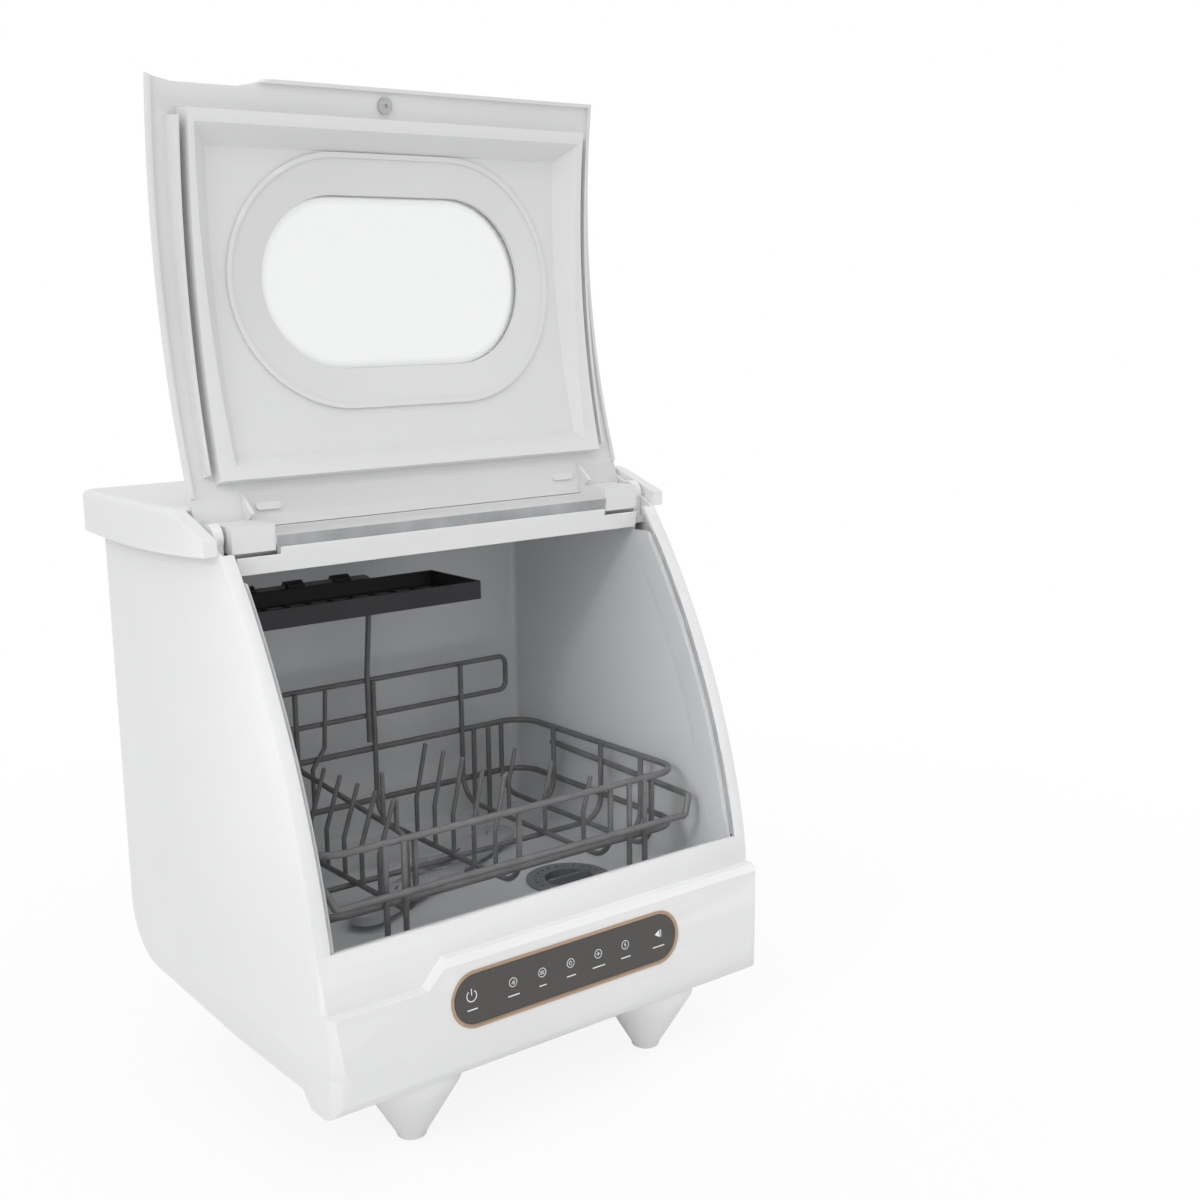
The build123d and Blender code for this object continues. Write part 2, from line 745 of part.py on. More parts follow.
def wash_tub():
    """Moulded tub, open at the mouth, with holes for the sump, the spray hub and the air inlet."""
    outer = slab(tub_face(False), -tub_outer_half, tub_outer_half)
    inner = slab(tub_face(True), -tub_half_width, tub_half_width)
    lower = inner.edges().filter_by(Axis.Y).sort_by(Axis.Z)[:2]
    inner = fillet(lower, tub_corner_radius)
    upright = inner.edges().filter_by(Axis.Z).sort_by(Axis.Y)[-2:]
    inner = fillet(upright, tub_corner_radius)
    tub = outer - inner
    tub -= post(sump_x, sump_y, tub_floor_z - 20, tub_floor_z + 20, filter_radius + 9)
    tub -= post(spray_x, spray_y, tub_floor_z - 20, tub_floor_z + 20, hub_radius + 0.1)
    tub -= post(fan_x, fan_y, tub_ceiling_z - 20, tub_ceiling_z + 20, 24)
    tub -= Pos(inlet_x, tub_back_y, 190) * Rot(90, 0, 0) * Cylinder(6, 30)
    return tub


# ---------------------------------------------------------------- lid
def lid_tip_cutter():
    """Finger scoop along the free edge of the lid, drawn from the front."""
    slope = scoop_slope
    shoulder_z = tip_z + scoop_depth * 0.6
    top_z = tip_z + scoop_depth
    points = [(scoop_x0 - slope, tip_z - 40), (scoop_x0 - slope, tip_z - 1), (scoop_x0, shoulder_z),
              (scoop_x0 + slope, top_z), (scoop_x1 - slope, top_z),
              (scoop_x1, shoulder_z), (scoop_x1 + slope, tip_z - 1), (scoop_x1 + slope, tip_z - 40)]
    return extrude(Plane.XZ.offset(-front_y - 60) * make_face(Polyline(*points, close=True)), 120)


def window_slot(length, height, inner, outer):
    """Part of a curved sheet inside a stadium at the middle of the window."""
    y, z = on_arc(lid_radius, window_angle)
    a = math.radians(window_angle)
    plane = Plane(origin=(0, y, z), x_dir=(1, 0, 0), z_dir=(0, -math.cos(a), math.sin(a)))
    prism = extrude(plane * SlotOverall(length, height), 60, both=True)
    return prism & shell(-far / 4, far / 4, inner, outer)


def lid_shell():
    """Outer moulding of the lid: skin, rims, seal ribs, hinge barrel and knuckles."""
    half = lid_half_width
    rim_radius = flange_radius + lid_gap
    whole = wedge(tip_angle, lid_end_angle, -half, half)
    skin_sheet = shell(-half, half, lid_inner_radius, lid_radius) & whole
    body = skin_sheet
    rim_top = lid_inner_radius + 0.5
    for side in (-1, 1):
        x0, x1 = sorted((side * (half - rim_wall), side * half))
        body += shell(x0, x1, rim_radius, rim_top) & wedge(tip_angle, lid_end_angle - 2, x0, x1)
    tip_band = math.degrees(rim_wall / lid_radius)
    body += shell(-half, half, rim_radius, rim_top) & wedge(tip_angle, tip_angle + tip_band, -half, half)
    body -= window_slot(window_length, window_height, lid_inner_radius - 5, lid_radius + 5)
    body -= lid_tip_cutter()
    body += [seal_rib(1), seal_rib(-1)]
    barrel = drum(-knuckle_x1, knuckle_x1, barrel_radius, hinge_y, hinge_z)
    barrel -= drum(-knuckle_x1 - 1, knuckle_x1 + 1, barrel_radius - lid_skin, hinge_y, hinge_z)
    keep = slab(make_face(Polyline(
        (hinge_y, hinge_z), (hinge_y - 40, hinge_z + 8), (hinge_y - 40, hinge_z + 60),
        (hinge_y + 40, hinge_z + 60), (hinge_y + 40, hinge_z + 10), close=True)), -far / 2, far / 2)
    body += barrel & keep
    bridge = slab(make_face(Polyline(
        on_arc(lid_inner_radius, lid_end_angle - 0.6), on_arc(lid_radius, lid_end_angle - 0.6),
        on_arc(lid_radius - 1.2, lid_end_angle + 0.25), on_arc(lid_inner_radius - 1.2, lid_end_angle + 0.25),
        close=True)), -knuckle_x1, knuckle_x1)
    body += bridge
    for side in (-1, 1):
        body += knuckle(side)
        body += gusset(side)
    for side in (-1, 1):
        bore = side_inner_x - fit - pin_length - pin_end_gap
        x0, x1 = sorted((side * bore, side * (knuckle_x1 + 2)))
        body -= drum(x0, x1, pin_radius + pin_clearance, hinge_y, hinge_z)
    return open_lid(body)


def knuckle(side):
    """Hinge block of the lid: square in the open pose, and inside the skin in the closed pose."""
    x0, x1 = sorted((side * knuckle_x0, side * knuckle_x1))
    cube = block(x0, x1, hinge_y - knuckle_front, hinge_y + knuckle_back, hinge_z - knuckle_down,
                 hinge_z + knuckle_up)
    closed = cube.rotate(Axis((0, hinge_y, hinge_z), (1, 0, 0)), open_angle)
    return closed & drum(x0, x1, lid_radius - 0.5)


def gusset(side):
    """Web between the knuckle and the skin, in front of the liner."""
    x0, x1 = sorted((side * (knuckle_x0 + 3), side * (knuckle_x0 + 6)))
    root = lid_inner_radius + 0.5
    web = Polyline(on_arc(root, liner_end_angle + 0.5), on_arc(lid_inner_radius - 13, lid_end_angle - 0.4),
                   on_arc(root, lid_end_angle), close=True)
    return slab(make_face(web), x0, x1)


def liner_top(drop):
    """Points of the free edge of the liner wall, from the free end to the hinge end."""
    start = on_arc(flange_radius - liner_free_depth + drop, liner_start_angle)
    middle_angle = (liner_start_angle + liner_end_angle) / 2
    middle_depth = (liner_free_depth + liner_hinge_depth) / 2 + 1.5
    middle = on_arc(flange_radius - middle_depth + drop, middle_angle)
    end = on_arc(flange_radius - liner_hinge_depth + drop, liner_end_angle)
    return start, middle, end


def liner_face(drop, back_radius, trim):
    """Side outline of the liner between its free edge and a back radius."""
    start, middle, end = liner_top(drop)
    a0 = liner_start_angle + trim
    a1 = liner_end_angle - trim
    start = on_arc(flange_radius - liner_free_depth + drop, a0)
    end = on_arc(flange_radius - liner_hinge_depth + drop, a1)
    back_start = on_arc(back_radius, a0)
    back_end = on_arc(back_radius, a1)
    back_middle = on_arc(back_radius, (a0 + a1) / 2)
    return make_face([
        ThreePointArc(start, middle, end),
        Line(end, back_end),
        ThreePointArc(back_end, back_middle, back_start),
        Line(back_start, start),
    ])


def seal_rib(side):
    """Outer rib beside the liner wall; the two make a labyrinth with the tub."""
    inner_x = liner_half_width + seal_rib_gap
    x0, x1 = sorted((side * inner_x, side * (inner_x + seal_rib_wall)))
    return slab(liner_face(2.5, lid_inner_radius + 0.5, 0.5), x0, x1)


def dish_slope_point(angle, towards, height):
    """Point of an end slope of the dish, at a height above the panel; towards is the end's side."""
    a = math.radians(angle)
    y, z = on_arc(panel_radius - height, angle)
    run = towards * dish_slope * height
    return (y + run * math.sin(a), z + run * math.cos(a))


def dish_tool(grow, radius):
    """Curved tool for the dish of the liner: slopes all round, panel at the given radius."""
    half = liner_half_width - dish_side_inset + grow
    low = 6.0
    high = 40.0
    profile = Polyline(
        (-half + dish_slope * low, -panel_radius - low), (half - dish_slope * low, -panel_radius - low),
        (half + dish_slope * high, -panel_radius + high), (-half - dish_slope * high, -panel_radius + high),
        close=True)
    plan = Plane(origin=(0, arc_y, arc_z), x_dir=(1, 0, 0), z_dir=(0, 0, 1))
    ring = revolve(plan * make_face(profile), Axis((0, arc_y, arc_z), (1, 0, 0)))
    free_angle = liner_start_angle + math.degrees((dish_free_inset - grow) / panel_radius)
    hinge_angle = liner_end_angle - math.degrees((dish_hinge_inset - grow) / panel_radius)
    ends = Polyline(
        dish_slope_point(free_angle, -1, -low), dish_slope_point(free_angle, -1, high),
        dish_slope_point(hinge_angle, 1, high), dish_slope_point(hinge_angle, 1, -low),
        on_arc(panel_radius + 60, (free_angle + hinge_angle) / 2), close=True)
    return ring & slab(make_face(ends), -far / 4, far / 4) & drum(-far / 4, far / 4, radius)


def lid_liner():
    """Inner moulding: a shallow dish with hollow walls and the hole for the window ring."""
    half = liner_half_width
    body = slab(liner_face(0.0, lid_inner_radius - 0.2, 0.0), -half, half)
    dish = dish_tool(0.0, panel_radius)
    dish_back = dish_tool(liner_wall + 1, panel_radius + liner_wall)
    trim = math.degrees(liner_wall / lid_radius)
    hollow = slab(liner_face(liner_wall, lid_inner_radius + 1, trim), -half + liner_wall, half - liner_wall)
    liner = body - (hollow - dish_back) - dish
    liner -= window_slot(ring_length - 2 * ring_bead - 2, ring_height - 2 * ring_bead - 2,
                         panel_radius - 10, lid_radius)
    return open_lid(liner)


def lid_window():
    """Curved clear pane against the inner face of the skin."""
    outer = lid_inner_radius - 0.1
    return open_lid(window_slot(window_length + 2 * window_margin, window_height + 2 * window_margin,
                                outer - pane_thickness, outer))


def window_ring():
    """Bezel that holds the pane: flat band with a raised bead on the dish."""
    band_outer = lid_inner_radius - 0.2 - pane_thickness
    bead_top = panel_radius - 0.1
    hole_length = window_length + 1
    hole_height = window_height + 1
    plug_length = ring_length - 2 * ring_bead - 3
    plug_height = ring_height - 2 * ring_bead - 3
    band = window_slot(plug_length, plug_height, bead_top - 0.5, band_outer)
    bead = window_slot(ring_length, ring_height, bead_top - ring_bead_height, bead_top)
    bead -= window_slot(ring_length - 2 * ring_bead, ring_height - 2 * ring_bead, bead_top - 10,
                        bead_top - 0.5)
    lip = window_slot(ring_length - 2 * ring_bead, ring_height - 2 * ring_bead, bead_top - 0.5, bead_top)
    ring = band + bead + lip
    return open_lid(ring - window_slot(hole_length, hole_height, bead_top - 20, lid_radius))


def lid_magnet():
    """Round closing magnet in its cup, behind the free edge of the lid."""
    angle = (tip_angle + liner_start_angle) / 2 + 0.1
    a = math.radians(angle)
    y, z = on_arc(lid_inner_radius, angle)
    outward = Vector(0, -math.cos(a), math.sin(a))
    plane = Plane(origin=Vector(-4, y, z) - outward * 2.6, x_dir=(1, 0, 0), z_dir=outward)
    cup = extrude(plane * (Circle(6.4) - Circle(4.6)), 2.5)
    core = extrude(plane * Circle(4.6), 2.5) - extrude(plane * RegularPolygon(2.0, 6), 1.5)
    return open_lid(cup + core)


def lid_bumpers():
    """Two rubber stops on the skin near the hinge."""
    parts = []
    a = math.radians(bumper_angle)
    y, z = on_arc(lid_inner_radius - 0.1, bumper_angle)
    outward = Vector(0, -math.cos(a), math.sin(a))
    for x in (-bumper_x, bumper_x):
        plane = Plane(origin=Vector(x, y, z) - outward * bumper_height, x_dir=(1, 0, 0), z_dir=outward)
        parts.append(open_lid(extrude(plane * SlotOverall(bumper_length, bumper_width), bumper_height)))
    return group(*parts)


# ---------------------------------------------------------------- rack
def rack_loop(z, radius):
    """Closed rectangular rail with round corners."""
    y0 = rack_front_y
    y1 = rack_back_y
    half = rack_half_width
    start = (0, y0, z)
    points = [start, (half, y0, z), (half, y1, z), (-half, y1, z), (-half, y0, z), (-1, y0, z)]
    open_rail = wire(points, radius, rail_corner)
    return open_rail + wire([(-1.5, y0, z), (0.5, y0, z)], radius, 1)


def floor_wire(x, back_top):
    """Lengthwise wire: J-shaped up to the front rail, and up at the back."""
    y0 = rack_front_y + riser_lay
    y1 = rack_back_y - riser_lay
    points = [(x, y0, upper_rail_z), (x, y0, rack_floor_z), (x, y1, rack_floor_z), (x, y1, back_top)]
    return wire(points, wire_radius, 24)


def cross_wire(y):
    """Crosswise wire under the floor wires, up to both side rails."""
    half = rack_half_width - riser_lay
    z = cross_wire_z
    points = [(-half, y, upper_rail_z), (-half, y, z), (half, y, z), (half, y, upper_rail_z)]
    return wire(points, wire_radius, 22)


def leg_pair(x, pitch, y):
    """Two legs joined by a foot bar on the floor of the tub."""
    z = tub_floor_z + seat_gap + wire_radius
    points = [(x, y, upper_rail_z), (x, y, z), (x + pitch, y, z), (x + pitch, y, upper_rail_z)]
    return wire(points, wire_radius, 6)


def back_frame():
    """Long narrow loop along the back of the rack, above the upper rail."""
    half = rack_half_width - rail_corner + 6
    y = rack_back_y
    low = back_low_bar_z
    top = back_top_bar_z
    points = [(0, y, low), (half, y, low), (half, y, top), (-half, y, top), (-half, y, low), (-1, y, low)]
    return wire(points, wire_radius, 8) + wire([(-1.5, y, low), (0.5, y, low)], wire_radius, 1)


def shelf_frame():
    """Inverted U that carries the shelf rod."""
    y0 = rack_back_y - 2 * wire_radius + weld
    foot_z = upper_rail_z + 8
    knee_z = back_top_bar_z + 8
    profile = [(y0, foot_z), (y0, knee_z), (shelf_rod_y, shelf_rod_z)]
    right_post = [(shelf_post_x1, y, z) for y, z in profile]
    left_post = [(shelf_post_x0, y, z) for y, z in reversed(profile)]
    return wire(right_post + left_post, shelf_rod_radius, 7)


def grip_loop():
    """Loop round the front: low bar in front, cut-off climbing corners, arms along both sides."""
    end_y = cross_wires[-1] + 8
    corner_y = grip_y + 3
    side = rack_half_width
    front = side - grip_cut
    points = [(-side, end_y, grip_arm_z), (-side, corner_y, grip_corner_z), (-front, grip_y, grip_z),
              (front, grip_y, grip_z), (side, corner_y, grip_corner_z), (side, end_y, grip_arm_z)]
    return wire(points, rail_radius, 4)


def divider():
    """Raised lengthwise wire: down from the back frame, forward, and down to the first cross wire."""
    y0 = cross_wires[0]
    y1 = rack_back_y - riser_lay
    points = [(divider_x, y1, back_top_bar_z), (divider_x, y1, divider_back_z),
              (divider_x, y0, divider_front_z), (divider_x, y0, cross_wire_z)]
    return wire(points, wire_radius, 10)


def divider_z(y):
    """Height of the raised wire at a depth."""
    y0 = cross_wires[0]
    y1 = rack_back_y - riser_lay
    return divider_front_z + (divider_back_z - divider_front_z) * (y - y0) / (y1 - y0)


def tine(points):
    """One tine along its points, with a round tip."""
    return wire(points, tine_radius, 4) + Pos(*points[-1]) * Sphere(tine_radius)


def largest(shape):
    return max(shape.solids(), key=lambda solid: solid.volume)


def tine_row(x, places, bend_z, top_z, lean):
    """Tines butted onto the floor wire they stand on: upright, then leaning over."""
    floor = floor_wire(x, upper_rail_z)
    rods = [tine([(x, y, rack_floor_z), (x, y, bend_z), (x + lean, y, top_z)]) for y in places]
    return group(*[largest(rod - floor) for rod in rods])


def short_tines():
    """Two straight tines on the divider."""
    places = ((-38.0, 258.0), (-58.0, 241.0))
    rods = [tine([(divider_x, y, divider_z(y)), (divider_x, y, top_z)]) for y, top_z in places]
    return group(*[largest(rod - divider()) for rod in rods])


def tall_tines(welded):
    """Two tall kinked tines: one on the last cross wire, one at the back of the rack."""
    on_cross_wire = (-0.545 * rack_half_width, cross_wires[-1], cross_wire_z, 211.0, -8.0, 282.0)
    at_back = (-0.32 * rack_half_width, rack_back_y - riser_lay, lower_rail_z, 225.0, 13.0, 294.0)
    rods = []
    for x, y, foot_z, kink, lean, top_z in (on_cross_wire, at_back):
        rods.append(tine([(x, y, foot_z), (x, y, kink), (x + lean, y, kink + 18), (x + lean + 3, y, top_z)]))
    return group(*[largest(rod - welded) for rod in rods])


def rack_wires():
    """All the rack's wires welded into one, before it is shared out over the nodes."""
    wires = [rack_loop(upper_rail_z, rail_radius), rack_loop(lower_rail_z, rail_radius), back_frame()]
    for x in (left_row_x, outer_wire_x):
        wires.append(floor_wire(x, upper_rail_z))
    for x in (middle_row_x, right_row_x):
        wires.append(floor_wire(x, back_top_bar_z))
    for y in cross_wires:
        wires.append(cross_wire(y))
    for x, pitch in leg_pairs:
        wires.append(leg_pair(x, pitch, rack_front_y - riser_lay))
        wires.append(leg_pair(x, pitch, rack_back_y - riser_lay))
    return wires[0].fuse(*wires[1:])


def rack_nodes(welded):
    """Flat parts of the rack: front, back, two sides and the floor."""
    front_cut = rack_front_y + 32
    back_cut = rack_back_y - 32
    side_cut = rack_half_width - 26
    front = welded & block(-far, far, -far, front_cut, 0, far)
    back = welded & block(-far, far, back_cut, far, 0, far)
    middle = welded & block(-far, far, front_cut, back_cut, 0, far)
    floor = middle & block(-side_cut, side_cut, -far, far, 0, far)
    left = middle & block(-far, -side_cut, -far, far, 0, far)
    right = middle & block(side_cut, far, -far, far, 0, far)
    return {"rack_front": group(front), "rack_back": group(back), "rack_floor": group(floor),
            "rack_sides": group(left, right)}


# ---------------------------------------------------------------- shelf
def shelf_tray():
    """Slotted shelf with a deep lip in front and at its ends."""
    y1 = shelf_rod_y - 7
    tray = block(shelf_x0, shelf_x1, shelf_front_y, y1, shelf_rod_z - shelf_height, shelf_rod_z)
    tray -= block(shelf_x0 + shelf_wall, shelf_x1 - shelf_wall, shelf_front_y + shelf_wall, y1 - shelf_wall,
                  shelf_rod_z - shelf_height + 3, shelf_rod_z + 1)
    inner_length = shelf_x1 - shelf_x0 - 2 * shelf_wall
    inner_depth = y1 - shelf_front_y - 2 * shelf_wall
    cell_x = (inner_length - shelf_slat * (shelf_columns + 1)) / shelf_columns
    cell_y = (inner_depth - shelf_slat * (shelf_rows + 1)) / shelf_rows
    for column in range(shelf_columns):
        x = shelf_x0 + shelf_wall + shelf_slat + column * (cell_x + shelf_slat)
        for row in range(shelf_rows):
            y = shelf_front_y + shelf_wall + shelf_slat + row * (cell_y + shelf_slat)
            tray -= block(x, x + cell_x, y, y + cell_y, 0, far)
    return tray


def shelf_clip(x):
    """Open clip that snaps over the rod."""
    half = clip_width / 2
    x0 = x - half
    x1 = x + half
    y1 = shelf_rod_y - 7
    body = drum(x0, x1, shelf_rod_radius + 3, shelf_rod_y, shelf_rod_z)
    body += block(x0, x1, y1, shelf_rod_y, shelf_rod_z - shelf_rod_radius - 2.5, shelf_rod_z + shelf_rod_radius)
    body -= drum(x0 - 1, x1 + 1, shelf_rod_radius + running_clearance, shelf_rod_y, shelf_rod_z)
    mouth = block(x0 - 1, x1 + 1, shelf_rod_y - 1.6, shelf_rod_y + 1.6, shelf_rod_z - 20, shelf_rod_z)
    return body - mouth


# ---------------------------------------------------------------- washing and draining
def spray_arm():
    """Arm: flat blade, round middle, slots for the jets."""
    blade = extrude(Pos(0, 0, arm_bottom_z) * SlotOverall(2 * arm_reach, arm_width), arm_height)
    blade = fillet(blade.faces().sort_by(Axis.Z)[-1].edges(), 3.0)
    middle = post(0, 0, arm_bottom_z - 2, arm_bottom_z + arm_height + 1, 24)
    arm = blade + middle
    arm -= post(0, 0, 0, 300, hub_radius + running_clearance)
    for place in (-108, -84, -58, 44, 70, 96):
        jet = Pos(place, 4, arm_bottom_z + 5) * Rot(0, 0, 20) * SlotOverall(11, 2.2)
        arm -= extrude(jet, 10)
    return Pos(spray_x, spray_y, 0) * (Rot(0, 0, arm_turn) * arm)


def spray_hub():
    """Hollow stem through the floor of the tub, with the shoulder that carries the arm."""
    hub = post(spray_x, spray_y, pump_z - 12, arm_bottom_z + arm_height + 4.5, hub_radius)
    hub += post(spray_x, spray_y, tub_floor_z + 0.05, tub_floor_z + 4, hub_foot_radius)
    hub += post(spray_x, spray_y, tub_floor_z + 4, arm_bottom_z - 2 - 0.2, hub_radius + 4)
    hub += post(spray_x, spray_y, pump_z - 14, tub_floor_z - tub_wall - 0.05, hub_radius + 5)
    return hub - post(spray_x, spray_y, pump_z, arm_bottom_z + arm_height + 1, hub_radius - 2.5)


def spray_nut():
    """Cap nut over the arm."""
    z0 = arm_bottom_z + arm_height + 1 + 0.3
    nut = post(spray_x, spray_y, z0, z0 + 2, 13)
    nut += extrude(Pos(spray_x, spray_y, z0 + 2) * RegularPolygon(9, 6), 3.5)
    return nut - post(spray_x, spray_y, 0, arm_bottom_z + arm_height + 4.55, hub_radius + 0.02)


def sump():
    """Cup under the tub floor with spigots for the two pumps."""
    top = tub_floor_z - tub_wall
    cup = post(sump_x, sump_y, sump_floor_z, top, sump_radius)
    cup -= post(sump_x, sump_y, sump_floor_z + 3, top + 1, sump_radius - 3)
    spigot = Cylinder(hose_radius - hose_wall, 24)
    to_pump = Pos(sump_x + 12, sump_y + sump_radius, pump_z) * Rot(90, 0, 0) * spigot
    cup += to_pump - post(sump_x, sump_y, 0, far, sump_radius - 3)
    return cup


def filter_plate():
    """Fine sieve flush in the tub floor, round the filter cup."""
    plate = post(sump_x, sump_y, tub_floor_z - tub_wall + 0.3, tub_floor_z + 0.1, filter_radius + 9 - 0.1)
    plate += post(sump_x, sump_y, tub_floor_z + 0.05, tub_floor_z + 1.5, filter_radius + 14)
    plate -= post(sump_x, sump_y, 0, far, filter_radius + running_clearance)
    for turn in range(24):
        a = math.radians(turn * 15)
        radius = filter_radius + 6
        plate -= post(sump_x + radius * math.cos(a), sump_y + radius * math.sin(a), 0, far, 1.5)
    return plate


def filter_cup():
    """Twist-out filter: slotted cup with a grip bar."""
    top = tub_floor_z + 2
    cup = post(sump_x, sump_y, top - filter_depth, top, filter_radius)
    cup -= post(sump_x, sump_y, top - filter_depth + 2, top + 1, filter_radius - 2.5)
    for turn in range(12):
        slot = block(filter_radius - 6, filter_radius + 4, -2, 2, top - filter_depth + 5, top - 9)
        cup -= Pos(sump_x, sump_y, 0) * Rot(0, 0, turn * 30) * slot
    reach = filter_radius - 1.5
    grip = block(sump_x - reach, sump_x + reach, sump_y - 1.5, sump_y + 1.5, top - 8, top + 2.5)
    return cup + grip


def wash_pump():
    """Motor and volute that feed the spray arm; it stands on a cradle in the tray."""
    volute = drum(pump_x, pump_x + pump_length, pump_radius, pump_y, pump_z)
    volute -= drum(pump_x + 3, pump_x + pump_length - 3, pump_radius - 3, pump_y, pump_z)
    bore_radius = hose_radius - hose_wall - 2
    x1 = pump_x + pump_length
    nose = drum(x1 - 0.5, x1 + 4.5, hose_radius - hose_wall, pump_y, pump_z)
    nose_bore = drum(x1 - 5, x1 + 9, bore_radius, pump_y, pump_z)
    motor = drum(pump_x - motor_length, pump_x + 0.5, motor_radius, pump_y, pump_z)
    outlet_x = pump_x + pump_length / 2
    front = pump_y - pump_radius
    outlet = along_y(outlet_x, pump_z, front - 9, front + 1, hose_radius - hose_wall)
    outlet_bore = along_y(outlet_x, pump_z, front - 10, front + 6, bore_radius)
    bore = drum(pump_x - 4, pump_x + 4, 3.0 + running_clearance, pump_y, pump_z)
    y0 = pump_y - 14
    y1 = pump_y + 14
    cradle = slab(make_face(Polyline((y0, tray_floor_z(y0)), (y1, tray_floor_z(y1)), (y1, pump_z - 10),
                                     (y0, pump_z - 10), close=True)), pump_x - motor_length + 8, pump_x - 8)
    return volute + nose + motor + outlet + cradle - nose_bore - outlet_bore - bore


def pump_impeller():
    """Vaned rotor on the motor shaft."""
    centre = pump_x + pump_length / 2
    rotor = drum(centre - 5, centre - 2.5, pump_radius - 6, pump_y, pump_z)
    rotor += drum(pump_x - 3.5, centre + 4, 3.0, pump_y, pump_z)
    for turn in range(6):
        vane = block(centre - 3, centre + 4, -1, 1, 2, pump_radius - 6)
        vane = vane.rotate(Axis((0, 0, 0), (1, 0, 0)), turn * 60)
        rotor += Pos(0, pump_y, pump_z) * vane
    return rotor


def drain_pump():
    """Small pump on the side of the sump."""
    x1 = sump_x - sump_radius - 0.1
    body = drum(x1 - 30, x1 - 8, 18, drain_y, drain_z)
    body += drum(x1 - 9, x1, 9, drain_y, drain_z)
    body += drum(x1 - 74, x1 - 29, 15, drain_y, drain_z)
    body += Pos(x1 - 19, drain_y - 17, drain_z) * Rot(90, 0, 0) * Cylinder(hose_radius - hose_wall, 16)
    body += block(x1 - 66, x1 - 34, drain_y - 9, drain_y + 9, tray_floor_z(drain_y), drain_z - 8)
    return body - post(sump_x, sump_y, 0, far, sump_radius + 0.1)


def tray_floor_z(y):
    """Inner floor of the base tray at a depth."""
    floor = base_bottom_z + front_skin
    if y <= base_flat_end_y:
        return floor
    rise = rear_corner_z - rear_corner_radius - base_bottom_z
    return floor + rise * (y - base_flat_end_y) / base_slope_run


def sump_hose():
    """From the sump to the eye of the wash pump."""
    x0 = sump_x + 12
    points = [(x0, sump_y + sump_radius + 1, pump_z), (x0, pump_y, pump_z),
              (pump_x + pump_length + 0.5, pump_y, pump_z)]
    return tube(points, hose_radius, hose_radius - hose_wall + 0.05, 14)


def spray_hose():
    """From the wash pump to the hub of the spray arm."""
    x0 = pump_x + pump_length / 2
    points = [(x0, pump_y - pump_radius - 0.5, pump_z), (x0, spray_y, pump_z),
              (spray_x + hub_radius + 5.2, spray_y, pump_z)]
    return tube(points, hose_radius, hose_radius - hose_wall + 0.05, 14)


def drain_hose():
    """From the drain pump round the tray to the rear spigot."""
    x0 = sump_x - sump_radius - 0.1 - 19
    turn_y = drain_run_y - 12
    points = [(x0, drain_y - 19, drain_z), (x0, turn_y, drain_z), (drain_run_x, turn_y, drain_z),
              (drain_run_x, back_y - front_skin - 16, drain_z)]
    return tube(points, hose_radius, hose_radius - hose_wall + 0.05, 16)


def drain_port():
    """Barbed spigot through the rear panel."""
    y0 = back_y - front_skin - 20
    y1 = back_y + drain_spigot_reach
    spigot = along_y(drain_run_x, drain_z, y0, y1, hose_radius - hose_wall)
    collar = along_y(drain_run_x, drain_z, back_y + 0.1, back_y + 3.1, drain_spigot_radius + 5)
    neck = along_y(drain_run_x, drain_z, back_y, y1, drain_spigot_radius)
    bore = along_y(drain_run_x, drain_z, y0 - 1, y1 + 1, 4)
    return spigot + collar + neck - bore


def inlet_port():
    """Threaded water inlet on the rear panel."""
    y1 = back_y + inlet_reach
    stem = along_y(inlet_x, inlet_port_z, back_y - inlet_stem_depth, y1, inlet_thread_radius)
    collar = along_y(inlet_x, inlet_port_z, back_y + 0.1, back_y + 3.1, inlet_thread_radius + 4)
    bore = along_y(inlet_x, inlet_port_z, back_y - 20, y1 + 1, 7.5)
    return stem + collar - bore


def inlet_valve():
    """Solenoid valve on the inner end of the inlet port."""
    y1 = back_y - inlet_stem_depth - 0.05
    body = block(inlet_x - 16, inlet_x + 16, y1 - 30, y1, inlet_port_z - 14, inlet_port_z + 12)
    coil = block(inlet_x - 12, inlet_x + 12, y1 - 52, y1 - 29, inlet_port_z - 12, inlet_port_z + 8)
    return body + coil


def inlet_hose():
    """From the valve up the back of the tub to its inlet."""
    x0 = inlet_x
    rise_y = (tub_back_y + tub_wall + back_y - front_skin) / 2
    points = [(x0, rise_y, inlet_port_z + 12.1), (x0, rise_y, 190), (x0, tub_back_y + tub_wall + 0.1, 190)]
    return tube(points, 6.0, 4.4, 7)


def cord_gland():
    """Bush for the mains lead; the lead itself isn't shown."""
    body = along_y(gland_x, gland_z, back_y - 9, back_y + 9, 7.9)
    flange = along_y(gland_x, gland_z, back_y + 0.1, back_y + 3.1, 11.5)
    return body + flange - along_y(gland_x, gland_z, back_y - 20, back_y + 20, 4)


def heating_element():
    """Heater plate under the tub floor with its U-shaped rod."""
    top = tub_floor_z - tub_wall
    plate = block(-122, -40, 10, 104, top - 3, top - 0.05)
    rod = wire([(-110, 104, top - 7), (-110, 24, top - 7), (-54, 24, top - 7), (-54, 104, top - 7)], 5.0, 24)
    return plate + rod


def power_board():
    """Main board on four stand-offs in the back corner of the tray."""
    x0 = foot_x + 8
    parts = block(x0, x0 + 72, 30, 114, 87, 88.6)
    for x in (x0 + 6, x0 + 66):
        for y in (36, 108):
            parts += post(x, y, tray_floor_z(y) + 0.25, 87.5, 3)
    parts += block(x0 + 8, x0 + 30, 40, 64, 88, 106)
    parts += block(x0 + 42, x0 + 62, 44, 58, 88, 100)
    parts += block(x0 + 10, x0 + 62, 84, 104, 88, 103)
    return parts


